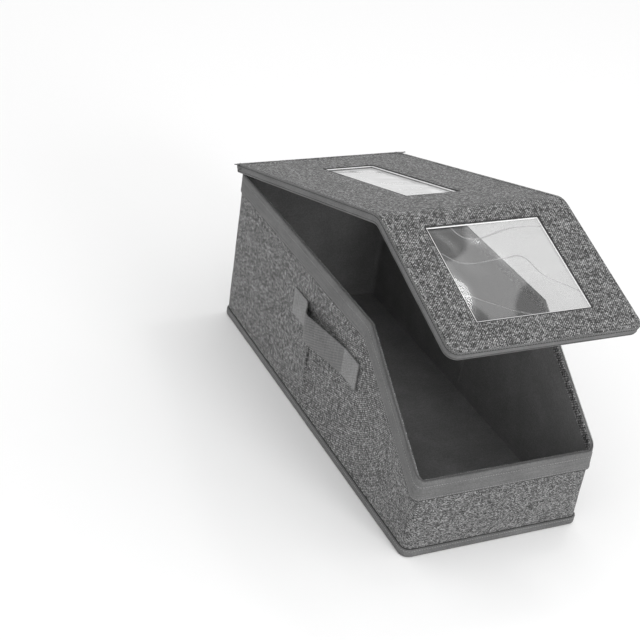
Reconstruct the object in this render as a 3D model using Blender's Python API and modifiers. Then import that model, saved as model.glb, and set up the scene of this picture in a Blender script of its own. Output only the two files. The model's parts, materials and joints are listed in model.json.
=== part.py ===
"""Baseball cap carrier case: a stiffened fabric box, low at the front and tall at the back, under a windowed lid.

Metres, +Z up. The case stands on Z = 0 with its base centred on the origin and its low front towards -Y.
The lid turns on a cloth hinge along the top of the back wall and is held part open, as it is shown.
"""

import math

import bmesh
import bpy
from mathutils import Vector

# Case body, over the cloth
CASE_WIDTH = 0.240
CASE_LENGTH = 0.560
FRONT_HEIGHT = 0.110
BACK_HEIGHT = 0.224
SLOPE_RUN = 0.156
CORNER_RADIUS = 0.010
WALL = 0.0025
GAP = 0.0003

# Tapes and bindings sewn to the body
BASE_TAPE_HEIGHT = 0.010
BASE_TAPE_THICK = 0.0020
RIM_TAPE_WIDTH = 0.027
RIM_TAPE_THICK = 0.0012
RIM_FACING = 0.012
ZIP_WRAP = 0.028
COIL_RADIUS = 0.0009

# Slack of the cloth between its tapes, and the fold that lets each side collapse
FRONT_SWELL = 0.0030
FOLD_FROM_FRONT = 0.295
FOLD_HALF_WIDTH = 0.009
FOLD_DEPTH = 0.0022
TAPE_CLEARANCE = 0.0015

# Lid, measured square to its own two panels
LID_OPEN_DEG = 17.5
LID_OVERHANG = 0.006
LID_UNDERSIDE = 0.006
LID_PANEL = 0.0025
LID_TAPE_THICK = 0.0015
LID_TAPE_ON_TOP = 0.006
LID_FLANGE = 0.012
HINGE_THICK = 0.0010
HINGE_TAPE_HEIGHT = 0.015
HINGE_PLAY = 0.0001

# Clear film windows of the lid
FILM = 0.0006
FILM_LAP = 0.006
FRONT_WINDOW_WIDTH = 0.151
FRONT_WINDOW_START = 0.031
FRONT_WINDOW_LENGTH = 0.141
TOP_WINDOW_WIDTH = 0.074
TOP_WINDOW_FROM_FRONT = 0.246
TOP_WINDOW_LENGTH = 0.229

# Carrying handles: sewn patches at both ends of a strap that stands off the wall at a folded ridge
STRAP_WIDTH = 0.037
STRAP_THICK = 0.0020
STRAP_HEIGHT = 0.1425
STRAP_FROM_FRONT = 0.165
PATCH_LENGTH = 0.038
HAND_SPAN = 0.110
RIDGE_FROM_REAR_PATCH = 0.029
RIDGE_STAND_OFF = 0.017

# Label pocket on the right-hand side
LABEL_FROM_FRONT = 0.154
LABEL_LENGTH = 0.102
LABEL_HEIGHT = 0.0865
LABEL_ABOVE_BASE = 0.0185
LABEL_BORDER = 0.0125
LABEL_FRAME_THICK = 0.0016
CARD = 0.0005

# Zip sliders, parked on the back wall at the ends of the zip, and their pulls
SLIDER_FROM_CORNER = 0.020
SLIDER_DROP = 0.0165
SLIDER_SIZE = (0.0090, 0.0040, 0.0090)
SLIDER_BEVEL = 0.0010
BAIL_WIRE = 0.0006
BAIL_REACH = 0.0036
BAIL_RISE = 0.0030
PULL_AXIS_OUT = 0.0015
PULL_THICK = 0.0012
PULL_EYE_WIDTH = 0.0074
PULL_EYE_HOLE = (0.0042, 0.0050)
PULL_RIM = 0.0015
PULL_WIDTH = 0.0060
PULL_LENGTH = 0.030

# Smoothness of the faceted curves, and how near two places count as the same
CORNER_STEPS = 6
FRONT_STEPS = 8
STRAP_BEND_STEPS = 4
ROUNDING = 1e-6

HALF_WIDTH = CASE_WIDTH / 2
FRONT = -CASE_LENGTH / 2
BACK = CASE_LENGTH / 2
SLOPE = math.atan2(BACK_HEIGHT - FRONT_HEIGHT, SLOPE_RUN)
SLOPE_LENGTH = math.hypot(BACK_HEIGHT - FRONT_HEIGHT, SLOPE_RUN)
CREASE = FRONT + SLOPE_RUN
FOLD = FRONT + FOLD_FROM_FRONT
LID_SURFACE = LID_UNDERSIDE + LID_PANEL
LID_TOP = LID_SURFACE + GAP + LID_TAPE_THICK
HINGE_DEPTH = BACK + GAP + RIM_TAPE_THICK + GAP + HINGE_THICK / 2
LID_BACK = HINGE_DEPTH - HINGE_THICK / 2 - GAP
HINGE_AXIS = Vector((0, HINGE_DEPTH, BACK_HEIGHT))

# Level of the wall between its tapes, as a share of the free height, and how far the cloth is slack there
WALL_LEVELS = (
    {"height": 0.00, "slack": 0.0},
    {"height": 0.30, "slack": 0.9},
    {"height": 0.65, "slack": 1.0},
    {"height": 1.00, "slack": 0.0},
)

FINISHES = {
    "woven_fabric": {"color": (0.125, 0.125, 0.128), "roughness": 0.95, "metallic": 0.0, "alpha": 1.0},
    "grosgrain_tape": {"color": (0.130, 0.130, 0.133), "roughness": 0.80, "metallic": 0.0, "alpha": 1.0},
    "webbing": {"color": (0.170, 0.170, 0.172), "roughness": 0.90, "metallic": 0.0, "alpha": 1.0},
    "zip_coil": {"color": (0.050, 0.050, 0.052), "roughness": 0.50, "metallic": 0.0, "alpha": 1.0},
    "clear_film": {"color": (0.900, 0.910, 0.920), "roughness": 0.08, "metallic": 0.0, "alpha": 0.3},
    "card": {"color": (0.900, 0.900, 0.890), "roughness": 0.90, "metallic": 0.0, "alpha": 1.0},
    "bright_metal": {"color": (0.800, 0.800, 0.810), "roughness": 0.25, "metallic": 1.0, "alpha": 1.0},
}


def clear_scene():
    for obj in list(bpy.data.objects):
        bpy.data.objects.remove(obj, do_unlink=True)


def new_collection(name):
    collection = bpy.data.collections.new(name)
    bpy.context.scene.collection.children.link(collection)
    return collection


def finish_material(name, finish):
    """A Principled material of this name with the colour and gloss of one of the finishes."""
    values = FINISHES[finish]
    material = bpy.data.materials.new(name)
    material.use_nodes = True
    shader = material.node_tree.nodes["Principled BSDF"]
    shader.inputs["Base Color"].default_value = (*values["color"], 1.0)
    shader.inputs["Roughness"].default_value = values["roughness"]
    shader.inputs["Metallic"].default_value = values["metallic"]
    shader.inputs["Alpha"].default_value = values["alpha"]
    return material


def add_object(name, mesh, finish, parent=None):
    obj = bpy.data.objects.new(name, mesh)
    CASE_PARTS.objects.link(obj)
    obj.parent = parent
    mesh.materials.append(finish_material(f"{name}_{finish}", finish))
    return obj


def add_empty(name, location, turn_deg=0.0):
    """An empty on a joint's axis, turned about X to the rest pose."""
    empty = bpy.data.objects.new(name, None)
    CASE_PARTS.objects.link(empty)
    empty.location = location
    empty.rotation_euler = (math.radians(turn_deg), 0, 0)
    return empty


def sheet(name, rows, finish, thick, offset=0.0, closed=False, floor=False, parent=None):
    """A surface through rows of points, with its thickness from Solidify.

    closed joins the last column to the first, and floor fills the first row.
    """
    bm = bmesh.new()
    grid = [[bm.verts.new(point) for point in row] for row in rows]
    columns = len(rows[0])
    for low, high in zip(grid, grid[1:]):
        for i in range(columns if closed else columns - 1):
            j = (i + 1) % columns
            bm.faces.new((low[i], low[j], high[j], high[i]))
    if floor:
        bm.faces.new(list(reversed(grid[0])))
    mesh = bpy.data.meshes.new(name)
    bm.to_mesh(mesh)
    bm.free()
    obj = add_object(name, mesh, finish, parent)
    solidify = obj.modifiers.new("Thickness", "SOLIDIFY")
    solidify.thickness = thick
    solidify.offset = offset
    solidify.use_even_offset = True
    return obj


def plate(name, lower, upper, finish, parent=None):
    """A closed plate between two outlines with the same number of points."""
    bm = bmesh.new()
    bottom = [bm.verts.new(point) for point in lower]
    top = [bm.verts.new(point) for point in upper]
    bm.faces.new(list(reversed(bottom)))
    bm.faces.new(top)
    for i in range(len(bottom)):
        j = (i + 1) % len(bottom)
        bm.faces.new((bottom[i], bottom[j], top[j], top[i]))
    bmesh.ops.recalc_face_normals(bm, faces=bm.faces)
    mesh = bpy.data.meshes.new(name)
    bm.to_mesh(mesh)
    bm.free()
    return add_object(name, mesh, finish, parent)


def block(name, low, high, finish, parent=None):
    """A cube primitive stretched between two corners."""
    bm = bmesh.new()
    bmesh.ops.create_cube(bm, size=1.0)
    size = Vector(high) - Vector(low)
    bmesh.ops.scale(bm, vec=size, verts=bm.verts)
    bmesh.ops.translate(bm, vec=Vector(low) + size / 2, verts=bm.verts)
    mesh = bpy.data.meshes.new(name)
    bm.to_mesh(mesh)
    bm.free()
    return add_object(name, mesh, finish, parent)


def as_cutter(obj):
    """Moves an object to the cutters, where the render leaves it out."""
    CASE_PARTS.objects.unlink(obj)
    CUTTERS.objects.link(obj)
    obj.hide_render = True
    obj.display_type = "WIRE"
    return obj


def boolean(obj, cutter, operation):
    modifier = obj.modifiers.new(cutter.name, "BOOLEAN")
    modifier.operation = operation
    modifier.object = cutter
    return modifier


def curve_mesh(name, splines, finish, parent=None, **settings):
    """A curve object with these settings, made a mesh with its caps welded."""
    curve = bpy.data.curves.new(f"{name}_path", "CURVE")
    for key, value in settings.items():
        setattr(curve, key, value)
    for points, cyclic in splines:
        spline = curve.splines.new("POLY")
        spline.points.add(len(points) - 1)
        spline.use_cyclic_u = cyclic
        for target, point in zip(spline.points, points):
            target.co = (*point, 1.0)
    path = bpy.data.objects.new(f"{name}_path", curve)
    CUTTERS.objects.link(path)
    bpy.context.view_layer.update()
    graph = bpy.context.evaluated_depsgraph_get()
    mesh = bpy.data.meshes.new_from_object(path.evaluated_get(graph))
    bpy.data.objects.remove(path, do_unlink=True)
    bm = bmesh.new()
    bm.from_mesh(mesh)
    bmesh.ops.remove_doubles(bm, verts=bm.verts, dist=1e-6)
    bmesh.ops.recalc_face_normals(bm, faces=bm.faces)
    bm.to_mesh(mesh)
    bm.free()
    mesh.materials.clear()
    mesh.name = name
    return add_object(name, mesh, finish, parent)


def slope_z(y):
    """Height of the front slope's plane, which runs on past both ends of the slope."""
    return FRONT_HEIGHT + (y - FRONT) * math.tan(SLOPE)


def rim_z(y):
    return min(BACK_HEIGHT, max(FRONT_HEIGHT, slope_z(y)))


def tape_edge_z(y, width):
    """Lower edge of a tape of this width that follows the rim round its bends."""
    low = min(BACK_HEIGHT - width, slope_z(y) - width / math.cos(SLOPE))
    return max(low, FRONT_HEIGHT - width)


def arc(centre, radius, start_deg, end_deg, steps):
    """Stations on a corner: a point and the direction that faces out of the case."""
    found = []
    for i in range(steps + 1):
        angle = math.radians(start_deg + (end_deg - start_deg) * i / steps)
        out = Vector((math.cos(angle), math.sin(angle), 0))
        found.append((Vector((*centre, 0)) + out * radius, out))
    return found


def spaced(start, end, steps):
    return [start + (end - start) * i / steps for i in range(1, steps)]


def side_stops():
    """Depths at which a side wall has a station: the rim's bends and the fold."""
    tape_bend = CREASE + RIM_TAPE_WIDTH * (1 / math.cos(SLOPE) - 1) / math.tan(SLOPE)
    fold = (FOLD + FOLD_HALF_WIDTH, FOLD, FOLD - FOLD_HALF_WIDTH)
    return sorted((*fold, tape_bend, CREASE), reverse=True)


def mirrored(stations):
    """Left-hand stations from back to front, and the right-hand ones from front to back."""
    flip = [(Vector((-p.x, p.y, p.z)), Vector((-o.x, o.y, o.z))) for p, o in reversed(stations)]
    return stations + [pair for pair in flip if pair[0].x > 0]


def case_outline(back_start=0.0):
    """Stations round the body's outer face, from back_start left of the middle of the back wall and round."""
    inset = HALF_WIDTH - CORNER_RADIUS
    back_out = Vector((0, 1, 0))
    front_out = Vector((0, -1, 0))
    left = [(Vector((-back_start, BACK, 0)), back_out)]
    left += arc((-inset, BACK - CORNER_RADIUS), CORNER_RADIUS, 90, 180, CORNER_STEPS)
    left += [(Vector((-HALF_WIDTH, y, 0)), Vector((-1, 0, 0))) for y in side_stops()]
    left += arc((-inset, FRONT + CORNER_RADIUS), CORNER_RADIUS, 180, 270, CORNER_STEPS)
    left += [(Vector((x, FRONT, 0)), front_out) for x in spaced(-inset, inset, FRONT_STEPS) if x <= 1e-9]
    return mirrored(left)


def cloth_slack(point, out, slack):
    """How far the cloth stands out of (or folds into) the flat wall at a station."""
    if out.y < -0.999:
        return FRONT_SWELL * slack * math.cos(math.pi / 2 * point.x / (HALF_WIDTH - CORNER_RADIUS))
    if abs(out.x) > 0.999 and abs(point.y - FOLD) < FOLD_HALF_WIDTH / 2:
        return -FOLD_DEPTH * slack
    return 0.0


def build_body_shell():
    stations = case_outline()
    rows = [[Vector((p.x, p.y, 0)) for p, _ in stations]]
    for level in WALL_LEVELS:
        row = []
        for p, out in stations:
            low = BASE_TAPE_HEIGHT + TAPE_CLEARANCE
            high = tape_edge_z(p.y, RIM_TAPE_WIDTH) - TAPE_CLEARANCE
            spot = p + out * cloth_slack(p, out, level["slack"])
            row.append(Vector((spot.x, spot.y, low + (high - low) * level["height"])))
        rows.append(row)
    lowered = (RIM_TAPE_THICK + GAP) / math.cos(SLOPE)
    rows.append([Vector((p.x, p.y, rim_z(p.y) - lowered)) for p, _ in stations])
    return sheet("body_shell", rows, "woven_fabric", WALL, offset=-1.0, closed=True, floor=True)


def build_base_tape():
    stations = case_outline()
    reach = GAP + BASE_TAPE_THICK / 2
    rows = []
    for z in (0.0, BASE_TAPE_HEIGHT):
        rows.append([p + out * reach + Vector((0, 0, z)) for p, out in stations])
    return sheet("base_tape", rows, "grosgrain_tape", BASE_TAPE_THICK, closed=True)


def build_rim_tape():
    """The zip's tape, folded over the top edge of the wall: a wide leg outside and a facing inside."""
    stations = case_outline(HALF_WIDTH - ZIP_WRAP)
    outside = GAP + RIM_TAPE_THICK / 2
    inside = -(WALL + outside)
    rows = [
        [p + out * outside + Vector((0, 0, tape_edge_z(p.y, RIM_TAPE_WIDTH))) for p, out in stations],
        [p + out * outside + Vector((0, 0, rim_z(p.y) - RIM_TAPE_THICK / 2)) for p, out in stations],
        [p + out * inside + Vector((0, 0, rim_z(p.y) - RIM_TAPE_THICK / 2)) for p, out in stations],
        [p + out * inside + Vector((0, 0, rim_z(p.y) - RIM_FACING)) for p, out in stations],
    ]
    return sheet("rim_tape", rows, "grosgrain_tape", RIM_TAPE_THICK)


def build_body_coil():
    """The zip's coil, along the outer edge of the rim tape."""
    stations = case_outline(HALF_WIDTH - ZIP_WRAP)
    reach = GAP + RIM_TAPE_THICK - COIL_RADIUS
    lift = GAP + COIL_RADIUS
    points = [p + out * reach + Vector((0, 0, rim_z(p.y) + lift / math.cos(SLOPE))) for p, out in stations]
    return curve_mesh(
        "zip_coil_body",
        [(points, False)],
        "zip_coil",
        dimensions="3D",
        bevel_depth=COIL_RADIUS,
        bevel_resolution=2,
        use_fill_caps=True,
    )


def build_hinge_tape():
    """The body's half of the hinge: a tape on the back wall between the two ends of the zip."""
    reach = HALF_WIDTH - ZIP_WRAP - GAP
    near = BACK + GAP
    low = (-reach, near, BACK_HEIGHT - HINGE_TAPE_HEIGHT)
    high = (reach, near + RIM_TAPE_THICK, BACK_HEIGHT)
    return block("hinge_tape", low, high, "grosgrain_tape")


def strap_profile():
    """Depth and stand-off along a strap, from the front of the front patch to the back of the rear one."""
    front_patch = FRONT + STRAP_FROM_FRONT
    rear_patch = front_patch + PATCH_LENGTH + HAND_SPAN
    ridge = rear_patch - RIDGE_FROM_REAR_PATCH
    return (
        {"depth": front_patch, "stand_off": 0.0},
        {"depth": front_patch + PATCH_LENGTH, "stand_off": 0.0},
        {"depth": ridge, "stand_off": RIDGE_STAND_OFF},
        {"depth": rear_patch, "stand_off": 0.0},
        {"depth": rear_patch + PATCH_LENGTH, "stand_off": 0.0},
    )


def softened(points, reach, steps):
    """The same open path with each inner corner rounded over a length of reach on both sides."""
    path = [points[0]]
    for before, corner, after in zip(points, points[1:], points[2:]):
        start = corner + (before - corner).normalized() * reach
        end = corner + (after - corner).normalized() * reach
        for i in range(steps + 1):
            t = i / steps
            path.append(start * (1 - t) ** 2 + corner * 2 * t * (1 - t) + end * t**2)
    path.append(points[-1])
    return path


def build_handle(name, side):
    """A strap on the left (side -1) or right (side 1) wall."""
    reach = HALF_WIDTH + GAP + STRAP_THICK / 2
    path = [Vector((side * (reach + row["stand_off"]), row["depth"], 0)) for row in strap_profile()]
    path = softened(path, STRAP_THICK * 2, STRAP_BEND_STEPS)
    rows = []
    for edge in (-STRAP_WIDTH / 2, STRAP_WIDTH / 2):
        rows.append([point + Vector((0, 0, STRAP_HEIGHT + edge)) for point in path])
    return sheet(name, rows, "webbing", STRAP_THICK)


def build_label_pocket():
    """The sewn frame of the label pocket, its clear face and the blank card in it."""
    wall = HALF_WIDTH + GAP
    y0 = FRONT + LABEL_FROM_FRONT
    y1 = y0 + LABEL_LENGTH
    z0 = LABEL_ABOVE_BASE
    z1 = z0 + LABEL_HEIGHT
    frame = block("label_frame", (wall, y0, z0), (wall + LABEL_FRAME_THICK, y1, z1), "grosgrain_tape")
    inner = (y0 + LABEL_BORDER, z0 + LABEL_BORDER, y1 - LABEL_BORDER, z1 - LABEL_BORDER)
    low = (wall - WALL, inner[0], inner[1])
    high = (wall + 2 * LABEL_FRAME_THICK, inner[2], inner[3])
    boolean(frame, as_cutter(block("label_opening", low, high, "card")), "DIFFERENCE")
    layers = (("label_card", 0.0, "card"), ("label_window", CARD + GAP, "clear_film"))
    for name, depth, finish in layers:
        low = (wall + depth, inner[0] + GAP, inner[1] + GAP)
        high = (wall + depth + CARD, inner[2] - GAP, inner[3] - GAP)
        block(name, low, high, finish)


def build_slider(name, side):
    """A slider on the back wall, with the wire bail that its pull hangs in."""
    x = side * (HALF_WIDTH - SLIDER_FROM_CORNER)
    y = BACK + GAP + RIM_TAPE_THICK + GAP
    z = BACK_HEIGHT - SLIDER_DROP
    width, depth, height = SLIDER_SIZE
    low = (x - width / 2, y, z - height / 2)
    high = (x + width / 2, y + depth, z + height / 2)
    slider = block(name, low, high, "bright_metal")
    bevel = slider.modifiers.new("Rounded edges", "BEVEL")
    bevel.width = SLIDER_BEVEL
    bevel.segments = 2
    root = y + depth - SLIDER_BEVEL
    face = y + depth
    corner = BAIL_WIRE * 2
    points = [
        Vector((x, root, z + BAIL_RISE)),
        Vector((x, face + BAIL_REACH - corner, z + BAIL_RISE)),
        Vector((x, face + BAIL_REACH, z + BAIL_RISE - corner)),
        Vector((x, face + BAIL_REACH, z - BAIL_RISE + corner)),
        Vector((x, face + BAIL_REACH - corner, z - BAIL_RISE)),
        Vector((x, root, z - BAIL_RISE)),
    ]
    bail = curve_mesh(
        f"{name}_bail",
        [(points, False)],
        "bright_metal",
        dimensions="3D",
        bevel_depth=BAIL_WIRE,
        bevel_resolution=2,
        use_fill_caps=True,
    )
    boolean(slider, as_cutter(bail), "UNION")
    return Vector((x, face + PULL_AXIS_OUT, z))


def rounded_outline(corners, radius, steps):
    """A closed outline with round corners."""
    outline = []
    count = len(corners)
    for i, corner in enumerate(corners):
        before = (corners[i - 1] - corner).normalized()
        after = (corners[(i + 1) % count] - corner).normalized()
        half = before.angle(after) / 2
        centre = corner + (before + after).normalized() * radius / math.sin(half)
        start = corner + before * radius / math.tan(half) - centre
        end = corner + after * radius / math.tan(half) - centre
        for k in range(steps + 1):
            outline.append(centre + start.slerp(end, k / steps, start))
    return outline


def build_pull(name, axis_point):
    """A flat pull, its eye's upper rim on the swing axis."""
    empty = add_empty(f"{name}_axis", axis_point)
    hole_width, hole_height = PULL_EYE_HOLE
    top = PULL_RIM / 2
    eye_end = top - 2 * PULL_RIM - hole_height
    outer = [
        Vector((-PULL_EYE_WIDTH / 2, top)),
        Vector((PULL_EYE_WIDTH / 2, top)),
        Vector((PULL_EYE_WIDTH / 2, eye_end + PULL_RIM)),
        Vector((PULL_WIDTH / 2, eye_end)),
        Vector((PULL_WIDTH / 2, top - PULL_LENGTH)),
        Vector((-PULL_WIDTH / 2, top - PULL_LENGTH)),
        Vector((-PULL_WIDTH / 2, eye_end)),
        Vector((-PULL_EYE_WIDTH / 2, eye_end + PULL_RIM)),
    ]
    hole = [
        Vector((-hole_width / 2, -PULL_RIM / 2)),
        Vector((hole_width / 2, -PULL_RIM / 2)),
        Vector((hole_width / 2, -PULL_RIM / 2 - hole_height)),
        Vector((-hole_width / 2, -PULL_RIM / 2 - hole_height)),
    ]
    splines = []
    for corners in (outer, hole):
        splines.append(([Vector((p.x, p.y, 0)) for p in corners], True))
    pull = curve_mesh(name, splines, "bright_metal", empty, dimensions="2D", fill_mode="BOTH", extrude=PULL_THICK / 2)
    pull.rotation_euler = (math.radians(90), 0, 0)
    return pull


def lid_point(x, y, height):
    """A point of the closed lid, as seen from its hinge axis: height is square to the panel above the rim at y."""
    if abs(y - CREASE) < ROUNDING:
        spot = Vector((x, CREASE - height * math.tan(SLOPE / 2), BACK_HEIGHT + height))
    elif y > CREASE:
        spot = Vector((x, y, BACK_HEIGHT + height))
    else:
        spot = Vector((x, y - height * math.sin(SLOPE), slope_z(y) + height * math.cos(SLOPE)))
    return spot - HINGE_AXIS


def lid_outline(inset, back):
    """Points round the lid from its back left corner to its back right one, this far inside its outer face."""
    reach = HALF_WIDTH + LID_OVERHANG - inset
    front = FRONT - LID_OVERHANG + inset
    radius = CORNER_RADIUS + LID_OVERHANG - inset
    left = [Vector((-reach, back)), Vector((-reach, CREASE))]
    for p, _ in arc((-reach + radius, front + radius), radius, 180, 270, CORNER_STEPS):
        left.append(Vector((p.x, p.y)))
    return left + [Vector((-p.x, p.y)) for p in reversed(left)]


def build_lid_panels(lid):
    """The two stiffened panels, mitred at the crease, each with the opening for its window cut out."""
    inset = LID_TAPE_THICK + GAP
    points = lid_outline(inset, LID_BACK)
    front_points = [p for p in points if p.y < CREASE + ROUNDING]
    reach = points[0].x
    seam = GAP / 2
    panels = {
        "lid_front_panel": front_points,
        "lid_top_panel": [
            Vector((reach, CREASE)),
            Vector((-reach, CREASE)),
            Vector((-reach, LID_BACK)),
            Vector((reach, LID_BACK)),
        ],
    }
    along_slope = Vector((0, math.cos(SLOPE), math.sin(SLOPE)))
    for name, outline in panels.items():
        shift = -along_slope if name == "lid_front_panel" else Vector((0, 1, 0))
        layers = []
        for height in (LID_UNDERSIDE, LID_SURFACE):
            layer = []
            for p in outline:
                at_seam = abs(p.y - CREASE) < ROUNDING
                layer.append(lid_point(p.x, p.y, height) + (shift * seam if at_seam else Vector()))
            layers.append(layer)
        panel = plate(name, *layers, "woven_fabric", lid)
        window = WINDOWS[name]
        cutter = plate(f"{name}_opening", *window_layers(window, 0.0, (-FILM, LID_TOP)), "card", lid)
        boolean(panel, as_cutter(cutter), "DIFFERENCE")
        film_top = LID_UNDERSIDE - GAP
        film = window_layers(window, FILM_LAP, (film_top - FILM, film_top))
        plate(window["film"], *film, "clear_film", lid)


def window_layers(window, lap, heights):
    """Two outlines of a window's opening, grown by a lap, at two heights above the rim."""
    reach = window["width"] / 2 + lap
    near = window["near"] - lap
    far = window["near"] + window["length"] + lap
    layers = []
    for height in heights:
        layer = []
        for x, along in ((-reach, near), (reach, near), (reach, far), (-reach, far)):
            y = FRONT + along * window["run"]
            layer.append(lid_point(x, y, height))
        layers.append(layer)
    return layers


def build_lid_tape(lid):
    """The binding of the lid's edge: a strip on top of the panels and a flange down past them."""
    half = LID_TAPE_THICK / 2
    on_top = LID_SURFACE + GAP + half
    section = (
        {"inset": LID_TAPE_ON_TOP, "height": on_top},
        {"inset": half, "height": on_top},
        {"inset": half, "height": LID_TOP - LID_FLANGE},
    )
    rows = []
    for row in section:
        rows.append([lid_point(p.x, p.y, row["height"]) for p in lid_outline(row["inset"], LID_BACK)])
    return sheet("lid_tape", rows, "grosgrain_tape", LID_TAPE_THICK, parent=lid)


def build_lid_coil(lid):
    """The lid's half of the zip, inside the flange."""
    inset = LID_TAPE_THICK + GAP + COIL_RADIUS
    height = LID_TOP - LID_FLANGE + 3 * COIL_RADIUS
    points = [lid_point(p.x, p.y, height) for p in lid_outline(inset, BACK - CORNER_RADIUS)]
    return curve_mesh(
        "zip_coil_lid",
        [(points, False)],
        "zip_coil",
        lid,
        dimensions="3D",
        bevel_depth=COIL_RADIUS,
        bevel_resolution=2,
        use_fill_caps=True,
    )


def build_hinge_strip(lid):
    """The lid's half of the hinge: a strip over its back edge, cut away above the ends of the zip."""
    full = HALF_WIDTH + LID_OVERHANG
    narrow = HALF_WIDTH - ZIP_WRAP - GAP
    step = LID_UNDERSIDE / 2
    corners = (
        (-narrow, HINGE_PLAY),
        (narrow, HINGE_PLAY),
        (narrow, step),
        (full, step),
        (full, LID_TOP),
        (-full, LID_TOP),
        (-full, step),
        (-narrow, step),
    )
    layers = []
    for y in (-HINGE_THICK / 2, HINGE_THICK / 2):
        layers.append([Vector((x, y, z)) for x, z in corners])
    return plate("hinge_strip", *layers, "grosgrain_tape", lid)


WINDOWS = {
    "lid_front_panel": {
        "film": "front_window",
        "width": FRONT_WINDOW_WIDTH,
        "near": FRONT_WINDOW_START,
        "length": FRONT_WINDOW_LENGTH,
        "run": math.cos(SLOPE),
    },
    "lid_top_panel": {
        "film": "top_window",
        "width": TOP_WINDOW_WIDTH,
        "near": TOP_WINDOW_FROM_FRONT,
        "length": TOP_WINDOW_LENGTH,
        "run": 1.0,
    },
}

clear_scene()
CASE_PARTS = new_collection("cap_carrier_case")
CUTTERS = new_collection("cutters")

build_body_shell()
build_base_tape()
build_rim_tape()
build_body_coil()
build_hinge_tape()
build_handle("left_handle", -1)
build_handle("right_handle", 1)
build_label_pocket()
for side_name, side_sign in (("left", -1), ("right", 1)):
    pull_axis = build_slider(f"{side_name}_slider", side_sign)
    build_pull(f"{side_name}_pull", pull_axis)

lid_axis = add_empty("lid_hinge_axis", HINGE_AXIS, -LID_OPEN_DEG)
build_lid_panels(lid_axis)
build_lid_tape(lid_axis)
build_lid_coil(lid_axis)
build_hinge_strip(lid_axis)
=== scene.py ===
# %% [markdown]
# # A fabric cap case with a windowed lid
# The case is a stiffened box of woven grey cloth. Its front is low, its back is tall, and its lid bends
# over a crease and carries two clear windows. Cloth like this could be simulated, but every wall here is
# stretched over board, so it hardly moves. The surfaces are therefore worked out from a few sizes, with
# the slack, the folds and the rounded edges put in one by one, and the finish comes from procedural weave,
# tape and film.

import json
import math

import bmesh
import bpy
from mathutils import Matrix, Quaternion, Vector, noise


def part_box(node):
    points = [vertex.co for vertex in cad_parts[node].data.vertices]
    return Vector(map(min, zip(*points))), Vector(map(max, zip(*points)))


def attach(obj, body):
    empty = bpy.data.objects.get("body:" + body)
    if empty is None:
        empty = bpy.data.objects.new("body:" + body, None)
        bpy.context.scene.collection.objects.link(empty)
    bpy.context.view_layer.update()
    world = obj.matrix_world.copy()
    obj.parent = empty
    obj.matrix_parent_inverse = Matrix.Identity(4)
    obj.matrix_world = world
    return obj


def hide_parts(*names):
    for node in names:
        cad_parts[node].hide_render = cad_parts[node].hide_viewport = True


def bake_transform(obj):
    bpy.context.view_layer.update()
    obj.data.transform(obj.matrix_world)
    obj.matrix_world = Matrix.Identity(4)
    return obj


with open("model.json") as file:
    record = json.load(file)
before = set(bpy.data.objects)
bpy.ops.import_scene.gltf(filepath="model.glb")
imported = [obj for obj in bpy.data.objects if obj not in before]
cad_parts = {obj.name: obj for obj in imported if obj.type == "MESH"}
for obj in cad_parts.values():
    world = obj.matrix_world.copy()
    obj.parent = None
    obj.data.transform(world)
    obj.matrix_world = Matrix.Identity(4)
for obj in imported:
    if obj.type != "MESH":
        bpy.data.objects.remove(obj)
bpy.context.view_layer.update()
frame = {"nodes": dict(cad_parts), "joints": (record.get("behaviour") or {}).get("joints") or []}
hinge = next(joint for joint in frame["joints"] if joint["name"] == "lid_hinge")
print("solids", len(frame["nodes"]), "hinge at", hinge["pos_m"])

# %% [markdown]
# ## Sizes
# Everything below follows these values. The overall ones are read from the frame, so the looks and the
# solids can't drift apart, and the rest are the tapes, folds and gaps that a maker would measure on the
# cloth.

# %% The case's own sizes, in metres
GAP = 0.0003
HALF_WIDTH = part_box("body_shell")[1].x
HALF_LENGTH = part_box("base_tape")[1].y - GAP - 0.002
BACK_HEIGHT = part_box("hinge_tape")[1].z
RIM_TAPE_WIDTH = 0.027
FRONT_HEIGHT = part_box("rim_tape")[0].z + RIM_TAPE_WIDTH
SLOPE_RUN = 0.156
CORNER_RADIUS = 0.010
WALL = 0.0025
ZIP_WRAP = 0.028
BASE_TAPE_HEIGHT = 0.010

FRONT = -HALF_LENGTH
BACK = HALF_LENGTH
CREASE = FRONT + SLOPE_RUN
FOLD = FRONT + 0.295
SLOPE = math.atan2(BACK_HEIGHT - FRONT_HEIGHT, SLOPE_RUN)
SLOPE_LENGTH = math.hypot(BACK_HEIGHT - FRONT_HEIGHT, SLOPE_RUN)
HINGE = Vector(hinge["pos_m"])
LID_OPEN = math.radians(-hinge["range_deg"][0])
print("case", 2 * HALF_WIDTH, 2 * HALF_LENGTH, BACK_HEIGHT, "front", FRONT_HEIGHT, "lid open", LID_OPEN)

# %% [markdown]
# ## Camera
# The camera comes first, so that each piece can be judged from where the picture was taken. Its place was
# found by fitting the corners of the case: it stands above the front left corner and is turned a little
# about its own axis. The plain view transform keeps white as white, as in a catalogue picture.

# %% Camera
CAMERA_PLACE = Vector((-0.865, -1.336, 1.061))
CAMERA_AZIMUTH = math.radians(-28.72)
CAMERA_ELEVATION = math.radians(30.73)
CAMERA_ROLL = math.radians(8.48)
CAMERA_PAN = math.radians(-0.38)
CAMERA_LENS = 80.2

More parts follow.
